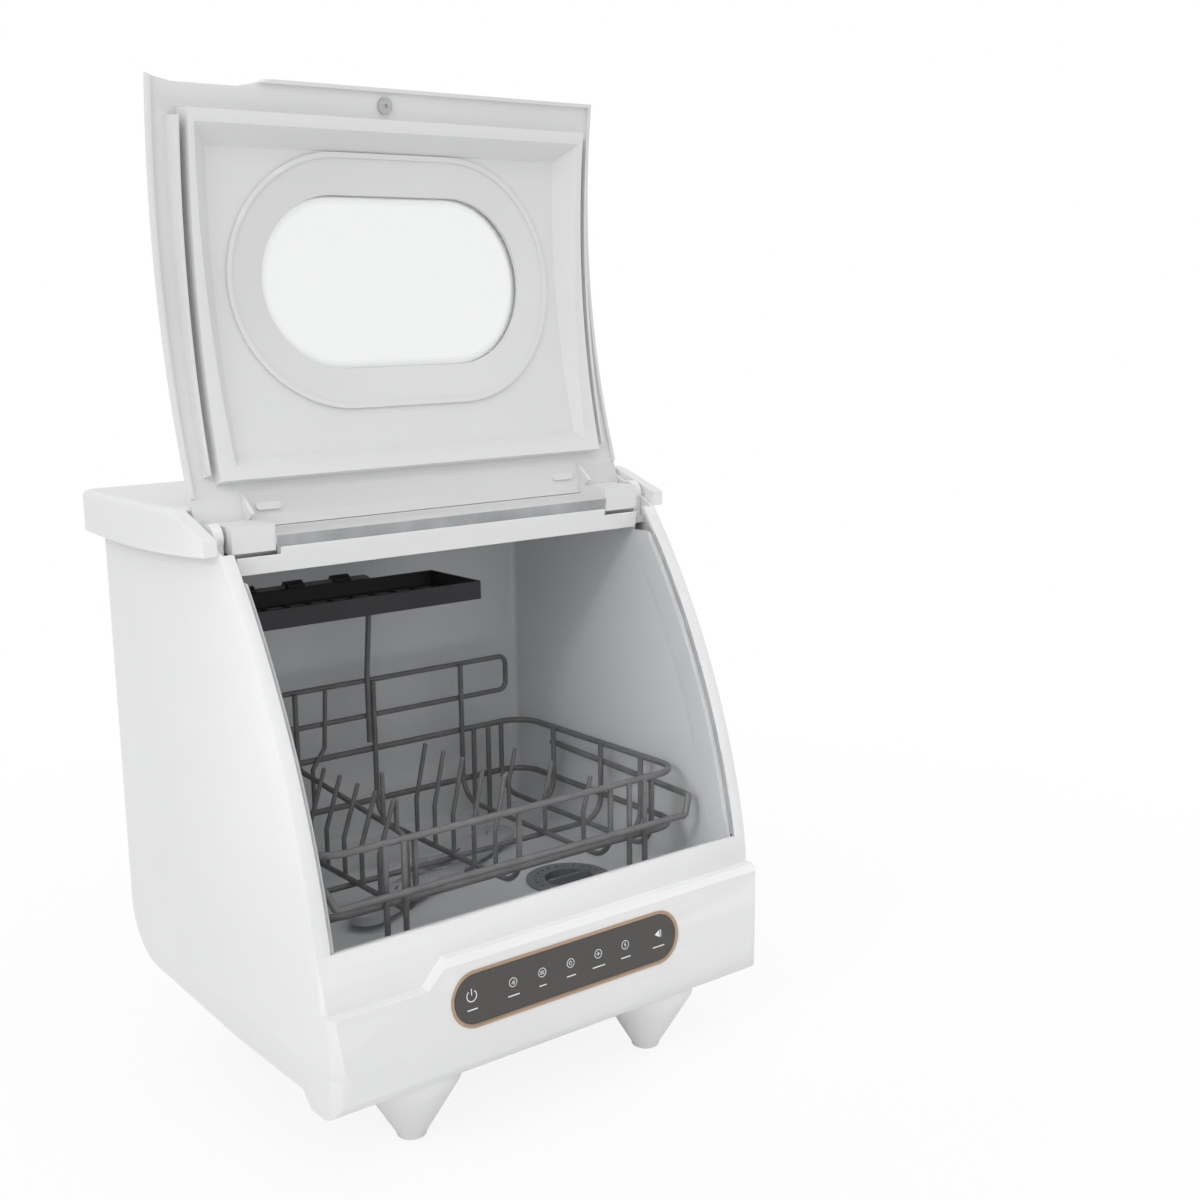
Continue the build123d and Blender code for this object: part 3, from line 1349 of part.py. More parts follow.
def fan_housing():
    """Flat blower on the roof of the tub."""
    z0 = tub_top_z
    outer = extrude(Pos(fan_x, fan_y, z0) * RectangleRounded(fan_size, fan_size, 18), fan_height)
    inner = extrude(Pos(fan_x, fan_y, z0 + fan_wall) * RectangleRounded(
        fan_size - 2 * fan_wall, fan_size - 2 * fan_wall, 16), fan_height - 2 * fan_wall)
    body = outer - inner
    body -= post(fan_x, fan_y, z0 + fan_height - 6, z0 + fan_height + 1, 20)
    body -= post(fan_x, fan_y, z0 - 1, z0 + fan_wall + 1, 22)
    spider = block(fan_x - 24, fan_x + 24, fan_y - 3, fan_y + 3, z0, z0 + fan_wall)
    hub = post(fan_x, fan_y, z0, z0 + 6, 9)
    return body + spider + hub - post(fan_x, fan_y, z0 + 2, z0 + 9, fan_shaft_radius + running_clearance)


def fan_impeller():
    """Blower wheel with its shaft in the housing."""
    z0 = tub_top_z + 7
    wheel = post(fan_x, fan_y, z0, z0 + 2, impeller_radius)
    wheel += post(fan_x, fan_y, tub_top_z + 2.3, z0 + 10, fan_shaft_radius)
    for turn in range(18):
        blade = block(impeller_radius - 9, impeller_radius - 0.5, -0.8, 0.8, z0 + 1, z0 + 12)
        wheel += Pos(fan_x, fan_y, 0) * Rot(0, 0, turn * 20) * blade
    return wheel


def rear_screws():
    """Screws that hold the rear panel."""
    screws = []
    for x in (-190.0, 190.0):
        for z in (160.0, 280.0, 400.0):
            head = Pos(x, back_y + 1.0, z) * Rot(90, 0, 0) * Cylinder(4.0, 1.9)
            cross = block(x - 2.4, x + 2.4, back_y + 1.2, back_y + 3, z - 0.5, z + 0.5)
            cross += block(x - 0.5, x + 0.5, back_y + 1.2, back_y + 3, z - 2.4, z + 2.4)
            screws.append(head - cross)
    return group(*screws)


# ---------------------------------------------------------------- build
def main():
    os.makedirs("parts", exist_ok=True)
    save("right_side_panel", side_panel(1))
    save("left_side_panel", side_panel(-1))
    save("rear_panel", rear_panel())
    save("front_panel", front_panel())
    save("base_tray", base_tray())
    save("top_cover", top_cover())
    save("front_feet", group(foot_under(-foot_x, front_foot_y), foot_under(foot_x, front_foot_y)))
    save("rear_feet", group(foot_under(-foot_x, rear_foot_y), foot_under(foot_x, rear_foot_y)))
    corners = [(x, y) for x in (-foot_x, foot_x) for y in (front_foot_y, rear_foot_y)]
    save("foot_pads", group(*[foot_pad(x, y) for x, y in corners]))
    save("foot_screws", group(*[foot_screw(x, y) for x, y in corners]))
    save("header_bar", header_bar())
    save("hinge_brackets", group(hinge_bracket(1), hinge_bracket(-1)))
    save("hinge_pins", group(hinge_pin(1), hinge_pin(-1)))
    save("opening_gasket", group(opening_gasket(1), opening_gasket(-1)))
    save("wash_tub", wash_tub())
    save("control_trim", control_trim())
    save("control_window", control_window())
    save("control_board", control_board())

    save("lid_shell", lid_shell())
    save("lid_liner", lid_liner())
    save("lid_window", lid_window())
    save("window_ring", window_ring())
    save("lid_magnet", lid_magnet())
    save("lid_bumpers", lid_bumpers())

    welded = rack_wires()
    for name, shape in rack_nodes(welded).items():
        save(name, shape)
    save("rack_grip_loop", largest(grip_loop() - welded))
    save("rack_divider", largest(divider() - welded))
    save("shelf_frame", largest(shelf_frame() - welded))
    save("left_tines", tine_row(left_row_x, (-62.0, -34.0, -6.0, 23.0, 50.0), 199.0, 242.0, 15.0))
    save("middle_tines", tine_row(middle_row_x, (-82.0, -51.0, -20.0, 9.0, 38.0), 201.0, 249.0, 11.0))
    save("right_tines", tine_row(right_row_x, (-79.0, -24.0, 31.0), 199.0, 228.0, 8.0))
    save("short_tines", short_tines())
    save("tall_tines", tall_tines(welded))
    save("shelf_tray", shelf_tray())
    save("shelf_clips", group(*[shelf_clip(x) for x in clip_places]))

    save("spray_arm", spray_arm())
    save("spray_hub", spray_hub())
    save("spray_nut", spray_nut())
    save("sump", sump())
    save("filter_plate", filter_plate())
    save("filter_cup", filter_cup())
    save("wash_pump", wash_pump())
    save("pump_impeller", pump_impeller())
    save("drain_pump", drain_pump())
    save("sump_hose", sump_hose())
    save("spray_hose", spray_hose())
    save("drain_hose", drain_hose())
    save("drain_port", drain_port())
    save("inlet_port", inlet_port())
    save("inlet_valve", inlet_valve())
    save("inlet_hose", inlet_hose())
    save("cord_gland", cord_gland())
    save("heating_element", heating_element())
    save("power_board", power_board())
    save("fan_housing", fan_housing())
    save("fan_impeller", fan_impeller())
    save("rear_screws", rear_screws())


main()
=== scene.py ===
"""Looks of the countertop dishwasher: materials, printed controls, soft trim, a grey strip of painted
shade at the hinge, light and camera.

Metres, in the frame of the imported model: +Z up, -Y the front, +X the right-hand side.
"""
import json
import math

import bmesh
import bpy
from mathutils import Matrix, Vector

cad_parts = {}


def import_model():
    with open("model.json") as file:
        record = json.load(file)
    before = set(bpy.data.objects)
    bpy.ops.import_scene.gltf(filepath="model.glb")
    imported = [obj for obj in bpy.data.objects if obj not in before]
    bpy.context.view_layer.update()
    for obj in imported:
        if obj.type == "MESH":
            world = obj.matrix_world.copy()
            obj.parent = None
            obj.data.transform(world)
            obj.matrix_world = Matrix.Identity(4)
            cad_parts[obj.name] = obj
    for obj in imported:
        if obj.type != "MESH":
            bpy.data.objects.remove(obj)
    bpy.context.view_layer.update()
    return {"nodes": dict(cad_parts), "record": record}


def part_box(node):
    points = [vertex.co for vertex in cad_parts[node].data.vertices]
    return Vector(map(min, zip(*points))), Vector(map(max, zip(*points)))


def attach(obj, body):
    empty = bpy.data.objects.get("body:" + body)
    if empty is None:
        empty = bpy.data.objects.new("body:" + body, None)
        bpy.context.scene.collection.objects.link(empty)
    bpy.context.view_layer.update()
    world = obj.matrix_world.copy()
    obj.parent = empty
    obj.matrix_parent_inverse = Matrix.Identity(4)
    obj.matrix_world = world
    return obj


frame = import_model()

MM = 0.001

# ---------------------------------------------------------------- values
# Camera of the photograph
CAMERA_PLACE = Vector((-0.6986, -1.0841, 0.6277))
CAMERA_YAW = math.radians(-36.87)
CAMERA_PITCH = math.radians(-12.08)
CAMERA_ROLL = math.radians(-0.98)
CAMERA_LENS = 46.61
SENSOR_WIDTH = 36.0
CAMERA_SHIFT = (0.0541, 0.0323)

# Mouth arc of the case, seen from the side
ARC_Y = 482.7 * MM
ARC_Z = 61.3 * MM
FLANGE_RADIUS = 662.6 * MM
MOUTH_WALL = 194.0 * MM

# Hinge line, header and the grey strip of painted shade in the slot between header and hinge barrel
HINGE_Y = -27.2 * MM
HINGE_Z = 463.7 * MM
SHADE_STRIP_INNER = 18.3 * MM
SHADE_STRIP_OUTER = 19.1 * MM
SHADE_STRIP_LOW = -10.5 * MM
SHADE_STRIP_HIGH = -0.6 * MM
HEADER_BACK_Y = -45.25 * MM
SHADE_STRIP_FOOT_Z = 448.5 * MM
SHADE_STRIP_FOOT_HEIGHT = 4.5 * MM
SHADE_STRIP_HALF_LENGTH = 159.4 * MM

# Clear part of the lid's window
PANE_RADIUS = 67.5 * MM
PANE_STRAIGHT = 55.0 * MM
FROST_WIDTH = 7.0 * MM

# Printed signs on the control glass
GLASS_LEAN = math.radians(4.32)
GLASS_FACE = 1.66 * MM
PRINT_THICKNESS = 0.12 * MM
STROKE = 0.75 * MM
FINE_STROKE = STROKE * 0.7
DASH_WIDTH = 0.9 * MM
SIGN_ROW = 3.2 * MM
FIRST_PROGRAMME = -0.255
PROGRAMME_STEP = 0.1275
PROGRAMME_DASHES = (5.4 * MM, 3.4 * MM, 4.4 * MM, 6.4 * MM, 5.0 * MM)

# Soft band along the mouth: its section as (proud, depth) in millimetres, its ends in degrees
BAND_SECTION = ((0.0, 4.2), (0.55, 5.2), (0.6, 8.0), (0.6, 24.0), (0.45, 26.5), (0.0, 29.0))
BAND_START = 11.5
BAND_END = 34.0
BAND_STEPS = 48

# Radius of the rounded edges: large mouldings, small pieces
CASE_EDGE = 0.7 * MM
SMALL_EDGE = 0.35 * MM

# Colours, linear
BODY_WHITE = (0.80, 0.80, 0.80)
LID_WHITE = (0.74, 0.74, 0.74)
TUB_WHITE = (0.62, 0.63, 0.64)
ICON_WHITE = (0.85, 0.86, 0.87)
BRONZE = (0.50, 0.36, 0.25)
STEEL = (0.56, 0.56, 0.56)
SHELF_BLACK = (0.022, 0.022, 0.025)
PUMP_BLACK = (0.03, 0.03, 0.032)
ARM_GREY = (0.42, 0.43, 0.45)
FILTER_GREY = (0.2, 0.21, 0.22)
RUBBER_DARK = (0.05, 0.05, 0.05)
RUBBER_GREY = (0.38, 0.39, 0.4)

# Lamps: name, place, target, diameter, power, spread in degrees
WORLD_STRENGTH = 0.77
MIDDLE = (0.0, 0.0, 0.35)
TUB_WALL = (0.19, -0.13, 0.21)
LAMPS = (
    ("side", (-2.7, -1.2, 1.0), MIDDLE, 1.6, 6.0, 180.0),
    ("side_high", (-2.4, -0.6, 2.2), MIDDLE, 1.6, 6.0, 180.0),
    ("key", (-1.6, -1.9, 2.3), MIDDLE, 1.6, 8.0, 180.0),
    ("mouth", (0.1, -1.5, 2.8), MIDDLE, 1.6, 3.0, 180.0),
    ("top", (0.1, 0.3, 2.8), MIDDLE, 2.0, 8.0, 180.0),
    ("tub", (-1.3, -0.56, 1.0), TUB_WALL, 0.3, 0.10, 20.0),
)

# Floor
FLOOR_REACH = 6.0
FLOOR_GLOW = 0.86
FADE_START = 0.35
FADE_END = 1.1
FLOOR_DROP = 0.3 * MM


# ---------------------------------------------------------------- material helpers
class Nodes:
    """Short calls for building a material's node tree."""

    def __init__(self, name):
        self.material = bpy.data.materials.new(name)
        self.material.use_nodes = True
        self.tree = self.material.node_tree
        self.shader = self.tree.nodes["Principled BSDF"]
        self.place = self.add("ShaderNodeTexCoord").outputs["Object"]

    def add(self, kind, **values):
        node = self.tree.nodes.new(kind)
        for key, value in values.items():
            setattr(node, key, value)
        return node

    def link(self, start, end):
        self.tree.links.new(start, end)

    def noise(self, scale, detail=2.0, roughness=0.5, stretch=None):
        node = self.add("ShaderNodeTexNoise")
        node.inputs["Scale"].default_value = scale
        node.inputs["Detail"].default_value = detail
        node.inputs["Roughness"].default_value = roughness
        source = self.place
        if stretch:
            mapping = self.add("ShaderNodeMapping")
            mapping.inputs["Scale"].default_value = stretch
            self.link(source, mapping.inputs["Vector"])
            source = mapping.outputs["Vector"]
        self.link(source, node.inputs["Vector"])
        return node.outputs["Fac"]

    def ramp(self, source, stops):
        node = self.add("ShaderNodeValToRGB")
        elements = node.color_ramp.elements
        while len(elements) < len(stops):
            elements.new(0.5)
        for element, (position, colour) in zip(elements, stops):
            element.position = position
            element.color = (*colour, 1.0)
        self.link(source, node.inputs["Fac"])
        return node.outputs["Color"]

    def range(self, source, low, high, start=0.3, end=0.7):
        node = self.add("ShaderNodeMapRange")
        node.inputs["From Min"].default_value = start
        node.inputs["From Max"].default_value = end
        node.inputs["To Min"].default_value = low
        node.inputs["To Max"].default_value = high
        self.link(source, node.inputs["Value"])
        return node.outputs["Result"]

    def mix(self, factor, first, second):
        node = self.add("ShaderNodeMix", data_type="RGBA")
        if isinstance(factor, float):
            node.inputs["Factor"].default_value = factor
        else:
            self.link(factor, node.inputs["Factor"])
        for value, socket in ((first, node.inputs["A"]), (second, node.inputs["B"])):
            if isinstance(value, tuple):
                socket.default_value = (*value, 1.0)
            else:
                self.link(value, socket)
        return node.outputs["Result"]

    def bump(self, source, strength, distance, normal=None):
        node = self.add("ShaderNodeBump")
        node.inputs["Strength"].default_value = strength
        node.inputs["Distance"].default_value = distance
        self.link(source, node.inputs["Height"])
        if normal is not None:
            self.link(normal, node.inputs["Normal"])
        return node.outputs["Normal"]

    def math(self, operation, first, second=0.0):
        node = self.add("ShaderNodeMath", operation=operation)
        for value, socket in ((first, node.inputs[0]), (second, node.inputs[1])):
            if isinstance(value, (int, float)):
                socket.default_value = value
            else:
                self.link(value, socket)
        return node.outputs["Value"]

    def edges(self):
        """1 on worn convex edges, 0 elsewhere."""
        point = self.add("ShaderNodeNewGeometry").outputs["Pointiness"]
        return self.range(point, 0.0, 1.0, 0.52, 0.62)

    def set(self, **values):
        for key, value in values.items():
            name = key.replace("_", " ")
            socket = self.shader.inputs[name]
            if isinstance(value, tuple):
                socket.default_value = (*value, 1.0)
            elif isinstance(value, (int, float)):
                socket.default_value = value
            else:
                self.link(value, socket)
        return self.material


def shade(colour, factor):
    """The colour, lighter or darker."""
    return tuple(min(1.0, channel * factor) for channel in colour)


def moulded(name, colour, roughness, grain=1.0, gloss=0.5):
    """Moulded plastic: faint flow clouding, fine spark-eroded grain, lighter scuffed edges."""
    n = Nodes(name)
    cloud = n.noise(6.0, 4.0, 0.6)
    tint = n.ramp(cloud, [(0.3, shade(colour, 0.975)), (0.7, shade(colour, 1.02))])
    base = n.mix(n.edges(), tint, shade(colour, 1.05))
    fine = n.noise(1400.0, 2.0)
    waves = n.noise(14.0, 3.0)
    normal = n.bump(fine, 0.05 * grain, 0.00004)
    normal = n.bump(waves, 0.02, 0.0006, normal)
    smear = n.noise(22.0, 5.0, 0.65)
    rough = n.range(smear, roughness - 0.05, roughness + 0.07)
    n.set(Base_Color=base, Roughness=rough, Normal=normal)
    n.shader.inputs["Specular IOR Level"].default_value = gloss
    return n.material


def coated_wire():
    """Dipped coating over steel wire: slightly uneven film, satin highlight."""
    n = Nodes("rack_coat")
    cloud = n.noise(60.0, 3.0)
    tint = n.ramp(cloud, [(0.3, (0.13, 0.13, 0.133)), (0.7, (0.17, 0.17, 0.173))])
    lumps = n.noise(240.0, 2.0)
    smear = n.noise(90.0, 4.0)
    return n.set(Base_Color=tint, Roughness=n.range(smear, 0.32, 0.5), Normal=n.bump(lumps, 0.25, 0.0002))


def clear_pane():
    """Clear curved pane with fine polish marks, frosted softly along its edge."""
    n = Nodes("pane_clear")
    low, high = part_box("lid_window")
    split = n.add("ShaderNodeSeparateXYZ")
    n.link(n.place, split.inputs["Vector"])
    sideways = n.math("ABSOLUTE", split.outputs["X"])
    across = n.math("MAXIMUM", n.math("SUBTRACT", sideways, PANE_STRAIGHT), 0.0)
    along = n.math("SUBTRACT", split.outputs["Z"], (low.z + high.z) / 2)
    squares = n.math("ADD", n.math("MULTIPLY", across, across), n.math("MULTIPLY", along, along))
    distance = n.math("SQRT", squares)
    frost = n.range(distance, 0.0, 1.0, PANE_RADIUS - FROST_WIDTH, PANE_RADIUS)
    marks = n.noise(420.0, 3.0, 0.5, (1.0, 0.08, 1.0))
    polish = n.range(marks, 0.02, 0.07)
    rough = n.math("MAXIMUM", polish, n.math("MULTIPLY", frost, 0.75))
    solid = n.range(frost, 0.5, 0.97, 0.0, 1.0)
    normal = n.bump(n.noise(8.0, 2.0), 0.03, 0.0004)
    n.set(Base_Color=(0.80, 0.81, 0.815), Roughness=rough, Alpha=solid, Normal=normal)
    n.shader.inputs["Transmission Weight"].default_value = 0.9
    n.shader.inputs["IOR"].default_value = 1.2
    return n.material


def dark_glass():
    """Dark printed glass of the controls, with faint dust and finger smears."""
    n = Nodes("control_glass")
    dust = n.noise(900.0, 2.0)
    smear = n.noise(30.0, 5.0, 0.6)
    tint = n.ramp(dust, [(0.3, (0.052, 0.049, 0.046)), (0.75, (0.062, 0.058, 0.054))])
    n.set(Base_Color=tint, Roughness=n.range(smear, 0.16, 0.3), Normal=n.bump(n.noise(12.0), 0.02, 0.0004))
    n.shader.inputs["Coat Weight"].default_value = 0.25
    n.shader.inputs["Coat Roughness"].default_value = 0.08
    return n.material


def anodised(name, colour):
    """Brushed, anodised metal."""
    n = Nodes(name)
    brushed = n.noise(300.0, 3.0, 0.6, (0.03, 1.0, 1.0))
    tint = n.ramp(brushed, [(0.25, shade(colour, 0.85)), (0.75, shade(colour, 1.12))])
    n.set(Base_Color=tint, Roughness=n.range(brushed, 0.25, 0.42), Normal=n.bump(brushed, 0.12, 0.00008))
    n.shader.inputs["Metallic"].default_value = 0.85
    return n.material


def rubber(name, colour):
    """Matt rubber with a fine grain."""
    n = Nodes(name)
    grain = n.noise(700.0, 3.0)
    tint = n.ramp(n.noise(40.0, 4.0), [(0.3, shade(colour, 0.85)), (0.7, shade(colour, 1.15))])
    return n.set(Base_Color=tint, Roughness=n.range(grain, 0.65, 0.85), Normal=n.bump(grain, 0.3, 0.0001))


def hose():
    """Milky silicone hose."""
    n = Nodes("hose_white")
    tint = n.ramp(n.noise(50.0, 3.0), [(0.3, (0.66, 0.67, 0.67)), (0.7, (0.78, 0.79, 0.79))])
    rough = n.range(n.noise(120.0), 0.3, 0.45)
    normal = n.bump(n.noise(300.0), 0.1, 0.0002)
    n.set(Base_Color=tint, Roughness=rough, Normal=normal)
    n.shader.inputs["Subsurface Weight"].default_value = 0.15
    n.shader.inputs["Subsurface Radius"].default_value = (0.004, 0.004, 0.004)
    return n.material


def circuit_board():
    """Green lacquer with fine tracks."""
    n = Nodes("board_green")
    tracks = n.add("ShaderNodeTexBrick")
    tracks.inputs["Scale"].default_value = 220.0
    tracks.inputs["Color1"].default_value = (0.02, 0.16, 0.07, 1.0)
    tracks.inputs["Color2"].default_value = (0.03, 0.2, 0.09, 1.0)
    tracks.inputs["Mortar"].default_value = (0.09, 0.34, 0.16, 1.0)
    n.link(n.place, tracks.inputs["Vector"])
    return n.set(Base_Color=tracks.outputs["Color"], Roughness=n.range(n.noise(80.0), 0.3, 0.5),
                 Normal=n.bump(tracks.outputs["Fac"], 0.2, 0.0001))


def printed_white():
    """White ink on glass."""
    n = Nodes("icon_print")
    tint = n.ramp(n.noise(500.0, 2.0), [(0.3, shade(ICON_WHITE, 0.93)), (0.7, ICON_WHITE)])
    rough = n.range(n.noise(200.0), 0.4, 0.55)
    return n.set(Base_Color=tint, Roughness=rough, Normal=n.bump(n.noise(900.0), 0.1, 0.00003))


# ---------------------------------------------------------------- carried-over nodes
def dress(materials):
    """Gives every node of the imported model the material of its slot."""
    slots = {entry["node"]: entry["material_slot"] for entry in frame["record"]["subparts"]}
    for name, node in frame["nodes"].items():
        node.data.materials.clear()
        node.data.materials.append(materials[slots[name]])


def soften(name, width):
    """Rounds the sharp edges of a node with modifiers."""
    node = frame["nodes"][name]
    weld = node.modifiers.new("weld", "WELD")
    weld.merge_threshold = 0.00001
    bevel = node.modifiers.new("bevel", "BEVEL")
    bevel.width = width
    bevel.segments = 2
    bevel.limit_method = "ANGLE"
    bevel.angle_limit = math.radians(40)
    bevel.harden_normals = False
    bevel.use_clamp_overlap = True


# ---------------------------------------------------------------- printed controls
def piece_from(mesh, name, material):
    """Turns a finished bmesh into an object of the scene."""
    bmesh.ops.recalc_face_normals(mesh, faces=mesh.faces)
    data = bpy.data.meshes.new(name)
    mesh.to_mesh(data)
    mesh.free()
    data.materials.append(material)
    piece = bpy.data.objects.new(name, data)
    bpy.context.scene.collection.objects.link(piece)
    return piece


def flat_piece(name, outlines, plane, thickness, material):
    """Thin raised print: each outline is a list of (x, y) corners in the plane, in metres."""
    mesh = bmesh.new()
    for outline in outlines:
        face = mesh.faces.new([mesh.verts.new((x, y, 0.0)) for x, y in outline])
        raised = bmesh.ops.extrude_face_region(mesh, geom=[face])
        top = [item for item in raised["geom"] if isinstance(item, bmesh.types.BMVert)]
        bmesh.ops.translate(mesh, verts=top, vec=(0.0, 0.0, thickness))
    piece = piece_from(mesh, name, material)
    piece.matrix_world = plane
    return piece


def ring_parts(x, y, radius, width, start=0.0, end=360.0, steps=40):
    """Ring or arc as quads, counted anticlockwise in degrees."""
    quads = []
    for k in range(steps):
        a = math.radians(start + (end - start) * k / steps)
        b = math.radians(start + (end - start) * (k + 1) / steps)
        inner = radius - width / 2
        outer = radius + width / 2
        quads.append([(x + inner * math.cos(a), y + inner * math.sin(a)),
                      (x + outer * math.cos(a), y + outer * math.sin(a)),
                      (x + outer * math.cos(b), y + outer * math.sin(b)),
                      (x + inner * math.cos(b), y + inner * math.sin(b))])
    return quads


def bar(x0, y0, x1, y1, width):
    """Straight stroke."""
    along = Vector((x1 - x0, y1 - y0)).normalized()
    side = Vector((-along.y, along.x)) * width / 2
    return [(x0 - side.x, y0 - side.y), (x1 - side.x, y1 - side.y), (x1 + side.x, y1 + side.y),
            (x0 + side.x, y0 + side.y)]


def power_sign(x):
    """Open ring with a stroke at its top, over a dash."""
    shapes = ring_parts(x, SIGN_ROW, 4.4 * MM, STROKE, 125, 415)
    shapes.append(bar(x, 3.6 * MM, x, 8.8 * MM, STROKE))
    shapes.append(bar(x - 4.6 * MM, -7.6 * MM, x + 4.6 * MM, -7.6 * MM, 1.0 * MM))
    return shapes


def programme_sign(kind, x):
    """Small sign in a ring, over a dash."""
    reach = PROGRAMME_DASHES[kind]
    shapes = ring_parts(x, SIGN_ROW, 3.5 * MM, FINE_STROKE)
    shapes += glyph(kind, x, SIGN_ROW, FINE_STROKE)
    shapes.append(bar(x - reach, -7.2 * MM, x + reach, -7.2 * MM, DASH_WIDTH))
    return shapes


def start_sign(x):
    """Triangle and a bar, over a dash."""
    return [
        [(x - 3.6 * MM, SIGN_ROW), (x + 1.6 * MM, 0.0), (x + 1.6 * MM, 2 * SIGN_ROW)],
        bar(x + 3.0 * MM, 0.2 * MM, x + 3.0 * MM, 6.2 * MM, STROKE),
        bar(x - 6.2 * MM, -7.4 * MM, x + 6.2 * MM, -7.4 * MM, DASH_WIDTH),
    ]


def control_icons(material):
    """Power sign, five round programme signs and a start sign, with a dash under each."""
    low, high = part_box("control_window")
    width = high.x - low.x
    out = Vector((0, -math.cos(GLASS_LEAN), math.sin(GLASS_LEAN)))
    up = Vector((0, math.sin(GLASS_LEAN), math.cos(GLASS_LEAN)))
    plane = Matrix((Vector((1, 0, 0)), up, out)).transposed().to_4x4()
    plane.translation = (low + high) / 2 + out * GLASS_FACE
    shapes = power_sign(-0.43 * width)
    for k in range(len(PROGRAMME_DASHES)):
        shapes += programme_sign(k, (FIRST_PROGRAMME + PROGRAMME_STEP * k) * width)
    shapes += start_sign(0.415 * width)
    piece = flat_piece("control_icons", shapes, plane, PRINT_THICKNESS, material)
    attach(piece, "case")


def glyph(kind, x, y, stroke):
    """Small generic sign inside a ring."""
    def line(x0, y0, x1, y1, width=stroke):
        return bar(x + x0 * MM, y + y0 * MM, x + x1 * MM, y + y1 * MM, width)

    thin = stroke * 0.8
    if kind == 0:
        return [line(-1.6, -1.2, 1.2, 1.6), line(0.0, -1.8, 1.8, 0.0)]
    if kind == 1:
        return [line(-1.9, k, 1.9, k, thin) for k in (-1.1, 0.0, 1.1)]
    if kind == 2:
        return ring_parts(x, y, 1.5 * MM, thin, 30, 330, 20) + [line(0.0, 0.0, 1.3, 0.6, thin)]
    if kind == 3:
        return [line(-2.2, 0.0, 2.2, 0.0), line(0.0, -1.8, 0.0, 1.8)]
    return [line(0.6, 2.0, -0.9, 0.1), line(-0.9, 0.1, 0.9, -0.1), line(0.9, -0.1, -0.6, -2.0)]


# ---------------------------------------------------------------- soft band along the mouth
def mouth_point(radius, angle):
    """(y, z) on an arc about the centre of the mouth's arc."""
    a = math.radians(angle)
    return (ARC_Y - radius * math.cos(a), ARC_Z + radius * math.sin(a))


def mouth_band(side, material):
    """Low soft-edged band on the wall of the tub, along the mouth."""
    mesh = bmesh.new()
    rows = []
    for k in range(BAND_STEPS + 1):
        angle = BAND_START + (BAND_END - BAND_START) * k / BAND_STEPS
        row = []
        for proud, depth in BAND_SECTION:
            y, z = mouth_point(FLANGE_RADIUS - depth * MM, angle)
            row.append(mesh.verts.new((side * (MOUTH_WALL - proud * MM), y, z)))
        rows.append(row)
    for first, second in zip(rows, rows[1:]):
        for k in range(len(BAND_SECTION) - 1):
            mesh.faces.new((first[k], first[k + 1], second[k + 1], second[k]))
    for row in (rows[0], rows[-1]):
        mesh.faces.new(row)
    for first, second in zip(rows, rows[1:]):
        mesh.faces.new((first[0], second[0], second[-1], first[-1]))
    piece = piece_from(mesh, "mouth_band_right" if side > 0 else "mouth_band_left", material)
    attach(piece, "case")


def arc_points(radius, low, high, steps):
    """Points in front of the hinge line, from one height above it to another."""
    points = []
    for k in range(steps + 1):
        rise = low + (high - low) * k / steps
        points.append((HINGE_Y - math.sqrt(radius * radius - rise * rise), HINGE_Z + rise))
    return points


def slot_shade_strip(material):
    """Grey strip on the back of the header, close to the hinge barrel of the lid: a sheet of painted shade
    standing in for the shadowed slot there.
    """
    outer = arc_points(SHADE_STRIP_OUTER, SHADE_STRIP_LOW * 0.6, SHADE_STRIP_HIGH, 10)
    inner = arc_points(SHADE_STRIP_INNER, SHADE_STRIP_LOW, SHADE_STRIP_HIGH, 14)
    foot = [(HEADER_BACK_Y, SHADE_STRIP_FOOT_Z), (HEADER_BACK_Y, SHADE_STRIP_FOOT_Z + SHADE_STRIP_FOOT_HEIGHT)]
    section = foot + outer + inner[::-1]
    mesh = bmesh.new()
    sides = (-SHADE_STRIP_HALF_LENGTH, SHADE_STRIP_HALF_LENGTH)
    ends = [[mesh.verts.new((x, y, z)) for y, z in section] for x in sides]
    for k in range(len(section)):
        j = (k + 1) % len(section)
        mesh.faces.new((ends[0][k], ends[0][j], ends[1][j], ends[1][k]))
    for end in ends:
        mesh.faces.new(end)
    piece = piece_from(mesh, "slot_shade_strip", material)
    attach(piece, "case")


# ---------------------------------------------------------------- stage
def camera():
    """Camera at the place, turn and lens fitted to the photograph."""
    level = math.cos(CAMERA_PITCH)
    forward = Vector((-math.sin(CAMERA_YAW) * level, math.cos(CAMERA_YAW) * level,
                      math.sin(CAMERA_PITCH)))
    right = Vector((math.cos(CAMERA_YAW), math.sin(CAMERA_YAW), 0.0))
    up = right.cross(forward)
    c = math.cos(CAMERA_ROLL)
    s = math.sin(CAMERA_ROLL)
    rolled_right = right * c + up * s
    rolled_up = up * c - right * s
    data = bpy.data.cameras.new("camera")
    data.lens = CAMERA_LENS
    data.sensor_width = SENSOR_WIDTH
    data.shift_x, data.shift_y = CAMERA_SHIFT
    shot = bpy.data.objects.new("camera", data)
    matrix = Matrix((rolled_right, rolled_up, -forward)).transposed().to_4x4()
    matrix.translation = CAMERA_PLACE
    shot.matrix_world = matrix
    bpy.context.scene.collection.objects.link(shot)
    bpy.context.scene.camera = shot


def area_light(name, place, target, size, power, spread):
    """Round soft lamp aimed at a point."""
    data = bpy.data.lights.new(name, "AREA")
    data.shape = "DISK"
    data.size = size
    data.energy = power
    data.spread = math.radians(spread)
    lamp = bpy.data.objects.new(name, data)
    lamp.location = place
    lamp.rotation_mode = "QUATERNION"
    lamp.rotation_quaternion = (Vector(target) - Vector(place)).to_track_quat("-Z", "Y")
    bpy.context.scene.collection.objects.link(lamp)


